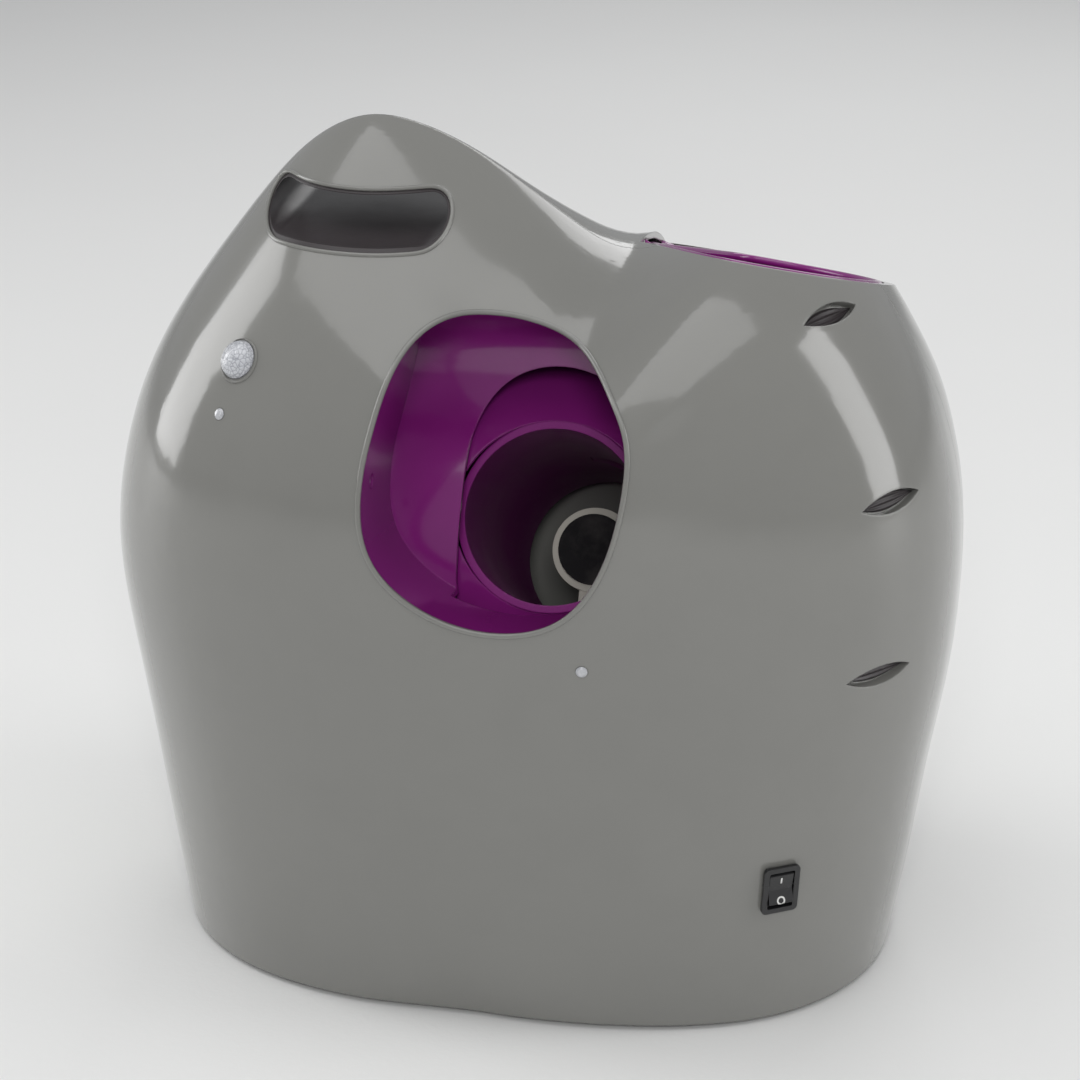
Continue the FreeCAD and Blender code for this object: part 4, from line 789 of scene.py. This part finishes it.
def scoop_frame(tree, x, z, side):
    """Drawing frame on the flat floor of a scoop, or None where there is none."""
    depths, outs = [], []
    for u, v in BESIDE_SCOOP:
        start = Vector((x + u, side * BEYOND_CASING, z + v))
        place, out, _, _ = tree.ray_cast(start, Vector((0, -side, 0)))
        if place is not None and abs(place.y) > SCOOP_LEAST_Y:
            out = out if out.y * side > 0 else -out
            depths.append(place.y + (out.x * u + out.z * v) / out.y)
            outs.append(out)
    if len(outs) < 2:
        return None
    out = sum(outs, Vector()).normalized()
    skin = Vector((x, sum(depths) / len(depths), z))
    above, length = SCOOP_FEEL
    floor, flat, _, _ = tree.ray_cast(skin + out * above, -out, length)
    if floor is None or abs(flat.dot(out)) < SCOOP_LEAST_COSINE:
        return None
    flat = flat if flat.dot(out) > 0 else -flat
    skin.y = floor.y + (SCOOP_DEPTH - flat.x * (x - floor.x) - flat.z * (z - floor.z)) / flat.y
    return frame_at(skin - flat * SCOOP_DEPTH, flat)


def make_scoops():
    """Dark plate with louvres in each scoop that the shell has: painted shade on the scoop's floor."""
    for side, word in ((-1, "front"), (1, "rear")):
        tree = tree_of(word + "_shell")
        for number, (x, z) in enumerate(SCOOP_PLACES, 1):
            frame = scoop_frame(tree, x, z, side)
            if frame is not None:
                # a dark plate painting the scoop's shade
                mesh_piece("scoop_shade_plate_%s_%d" % (word, number), shade_plate(frame), "dark_trim", "casing")


def shade_plate(frame, columns=18, rows=6):
    """Builder of a dark lens-shaped plate of painted shade on the floor of a scoop."""
    out = frame.col[2].to_3d()
    grid = []
    for k in range(columns + 1):
        u = SCOOP_HALF_LENGTH * (2.0 * k / columns - 1.0)
        reach = max(SCOOP_HALF_HEIGHT * (1.0 - (u / SCOOP_HALF_LENGTH) ** 2), SHADE_PLATE_TIP)
        grid.append([frame @ Vector((u, reach * (2.0 * j / rows - 1.0), LOUVRE_FLOOR + LOUVRE_RISE * (j % 2)))
                     for j in range(rows + 1)])
    return lambda shape: slab(shape, grid, out * -SHADE_PLATE_THICKNESS)


# ---------------------------------------------------------------- underside
def islands(name):
    """Boxes of the separate solids of a node."""
    shape = bmesh.new()
    shape.from_mesh(NODES[name].data)
    bmesh.ops.remove_doubles(shape, verts=shape.verts[:], dist=WELD)
    left = set(shape.verts)
    found = []
    while left:
        stack = [left.pop()]
        group = [stack[0]]
        while stack:
            for edge in stack.pop().link_edges:
                for vertex in edge.verts:
                    if vertex in left:
                        left.discard(vertex)
                        stack.append(vertex)
                        group.append(vertex)
        found.append(([min(v.co[k] for v in group) for k in range(3)],
                      [max(v.co[k] for v in group) for k in range(3)]))
    shape.free()
    return sorted(found)


def under(low, high):
    """Drawing frame in the middle of a box's underside, facing down."""
    return frame_at(((low[0] + high[0]) / 2, (low[1] + high[1]) / 2, low[2]), (0, 0, -1))


def make_underside():
    """Dark raised marks painting the shade of the screws' cross recesses, treads of the feet and the arrow on
    the battery door.
    """
    screws, feet = tree_of("case_screws"), tree_of("rubber_feet")

    def shaded_crosses(shape):
        for frame in [under(*box) for box in islands("case_screws")]:
            for (u, v), rise in zip(((CROSS_REACH, 0.0), (0.0, CROSS_REACH)), CROSS_RISES):
                stroke(shape, frame, screws, run((-u, -v), (u, v), 4), CROSS_WIDTH, rise)

    def treads(shape):
        for frame in [under(*box) for box in islands("rubber_feet")]:
            for radius in TREAD_RADII:
                stroke(shape, frame, feet, ring(radius, 28), TREAD_WIDTH, TREAD_RISE, True)

    # painted shade: the screws' cross recesses are dark raised marks, not cuts
    mesh_piece("screw_cross_shade", shaded_crosses, "dark_trim", "casing", smooth=False)
    mesh_piece("foot_treads", treads, "rubber", "casing", smooth=False)
    barbs = [(side * ARROW_BARB[0], ARROW_BARB[1]) for side in (-1, 1)]
    lines = [run(ARROW_TAIL, ARROW_NECK, 3)] + [run(barb, ARROW_TIP, 3) for barb in barbs]
    drawing("door_arrow", under(*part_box("battery_door")), ["battery_door"],
            [(line, ARROW_WIDTH, False) for line in lines], ARROW_RISE, "underside", "door")


# ---------------------------------------------------------------- inside
def chip(shape, low, high, bevel):
    """Small block with rounded edges."""
    made = bmesh.ops.create_cube(shape, size=1.0)["verts"]
    for vertex in made:
        vertex.co = Vector([low[k] + (vertex.co[k] + 0.5) * (high[k] - low[k]) for k in range(3)])
    edges = list({edge for vertex in made for edge in vertex.link_edges})
    bmesh.ops.bevel(shape, geom=edges, offset=bevel, segments=2, affect="EDGES")


def make_board_parts():
    """Rows of resistors and of solder joints on the control board."""
    left, back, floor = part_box("control_board")[0]

    def parts(shape):
        for row in range(RESISTOR_GRID[1]):
            for column in range(RESISTOR_GRID[0]):
                x = left + RESISTOR_START[0] + column * RESISTOR_STEP[0]
                z = floor + RESISTOR_START[1] + row * RESISTOR_STEP[1]
                chip(shape, (x, back + RESISTOR_FACES[0], z),
                     (x + RESISTOR_SIZE[0], back + RESISTOR_FACES[1], z + RESISTOR_SIZE[1]), RESISTOR_EDGE)

    mesh_piece("board_resistors", parts, "sleeve_black", "casing", smooth=False)

    def joints(shape):
        for row in range(SOLDER_GRID[1]):
            for column in range(SOLDER_GRID[0]):
                x = left + SOLDER_START[0] + column * SOLDER_STEP[0]
                z = floor + SOLDER_START[1] + row * SOLDER_STEP[1]
                made = bmesh.ops.create_uvsphere(shape, u_segments=10, v_segments=6, radius=SOLDER_RADIUS)
                for vertex in made["verts"]:
                    y = back + vertex.co.y * SOLDER_FLATNESS
                    vertex.co = Vector((x + vertex.co.x, y, z + vertex.co.z))

    mesh_piece("board_solder", joints, "contact_metal", "casing")


def make_details():
    """All the small pieces."""
    make_rims()
    make_switch_marks()
    make_scales()
    make_sensor_trim()
    make_scoops()
    make_underside()
    make_board_parts()


# ---------------------------------------------------------------- stage
def make_floor():
    """Plain pale floor with a faint mottle."""
    bpy.ops.mesh.primitive_plane_add(size=FLOOR_SIZE, location=(0, 0, 0))
    floor = bpy.context.object
    floor.name = "floor"
    surface = Surface("floor_pale", FLOOR_COLOUR, 0.55)
    surface.tint(surface.ramp(surface.noise(3.0, 4.0), 0.3, 0.8, 0.0, 0.4), (0.84, 0.84, 0.83))
    surface.relief(surface.noise(300.0, 3.0), 0.0001)
    floor.data.materials.append(surface.material)


def area_light(name, place, target, size, power, glossy):
    """Rectangular soft box that looks at a target."""
    data = bpy.data.lights.new(name, "AREA")
    data.shape = "RECTANGLE"
    data.size, data.size_y = size
    data.energy = power
    lamp = bpy.data.objects.new(name, data)
    bpy.context.collection.objects.link(lamp)
    lamp.location = place
    lamp.visible_glossy = glossy
    direction = Vector(target) - Vector(place)
    lamp.rotation_euler = direction.to_track_quat("-Z", "Y").to_euler()


def make_light():
    """Soft studio light: a big box overhead, a strip behind each side, a front fill and a pale world."""
    for light in LIGHTS:
        area_light(*light)
    world = bpy.data.worlds.new("studio")
    bpy.context.scene.world = world
    world.use_nodes = True
    tree = world.node_tree
    background = tree.nodes["Background"]
    background.inputs["Color"].default_value = WORLD_COLOUR
    background.inputs["Strength"].default_value = WORLD_STRENGTH
    seen = tree.nodes.new("ShaderNodeBackground")
    seen.inputs["Color"].default_value = BACKDROP_COLOUR
    seen.inputs["Strength"].default_value = 1.0
    path = tree.nodes.new("ShaderNodeLightPath")
    mix = tree.nodes.new("ShaderNodeMixShader")
    tree.links.new(path.outputs["Is Camera Ray"], mix.inputs["Fac"])
    tree.links.new(background.outputs["Background"], mix.inputs[1])
    tree.links.new(seen.outputs["Background"], mix.inputs[2])
    tree.links.new(mix.outputs["Shader"], tree.nodes["World Output"].inputs["Surface"])
    bpy.context.scene.view_settings.view_transform = "Standard"


def make_camera():
    """Camera at the viewing angle of the picture."""
    azimuth = math.radians(CAMERA_AZIMUTH)
    elevation = math.radians(CAMERA_ELEVATION)
    back = Vector((math.sin(azimuth) * math.cos(elevation), -math.cos(azimuth) * math.cos(elevation),
                   math.sin(elevation)))
    data = bpy.data.cameras.new("camera")
    data.sensor_width = SENSOR_WIDTH
    data.lens = SENSOR_WIDTH * CAMERA_DISTANCE / (FRAMED_LENGTH / FRAME_SHARE)
    data.clip_start = 0.02
    camera = bpy.data.objects.new("camera", data)
    bpy.context.collection.objects.link(camera)
    camera.location = Vector(CAMERA_TARGET) + back * CAMERA_DISTANCE
    camera.rotation_mode = "QUATERNION"
    camera.rotation_quaternion = (-back).to_track_quat("-Z", "Y")
    bpy.context.scene.camera = camera


def main():
    """Dress the frame, add the details and set up light and camera."""
    dress_frame()
    make_details()
    make_floor()
    make_light()
    make_camera()


main()
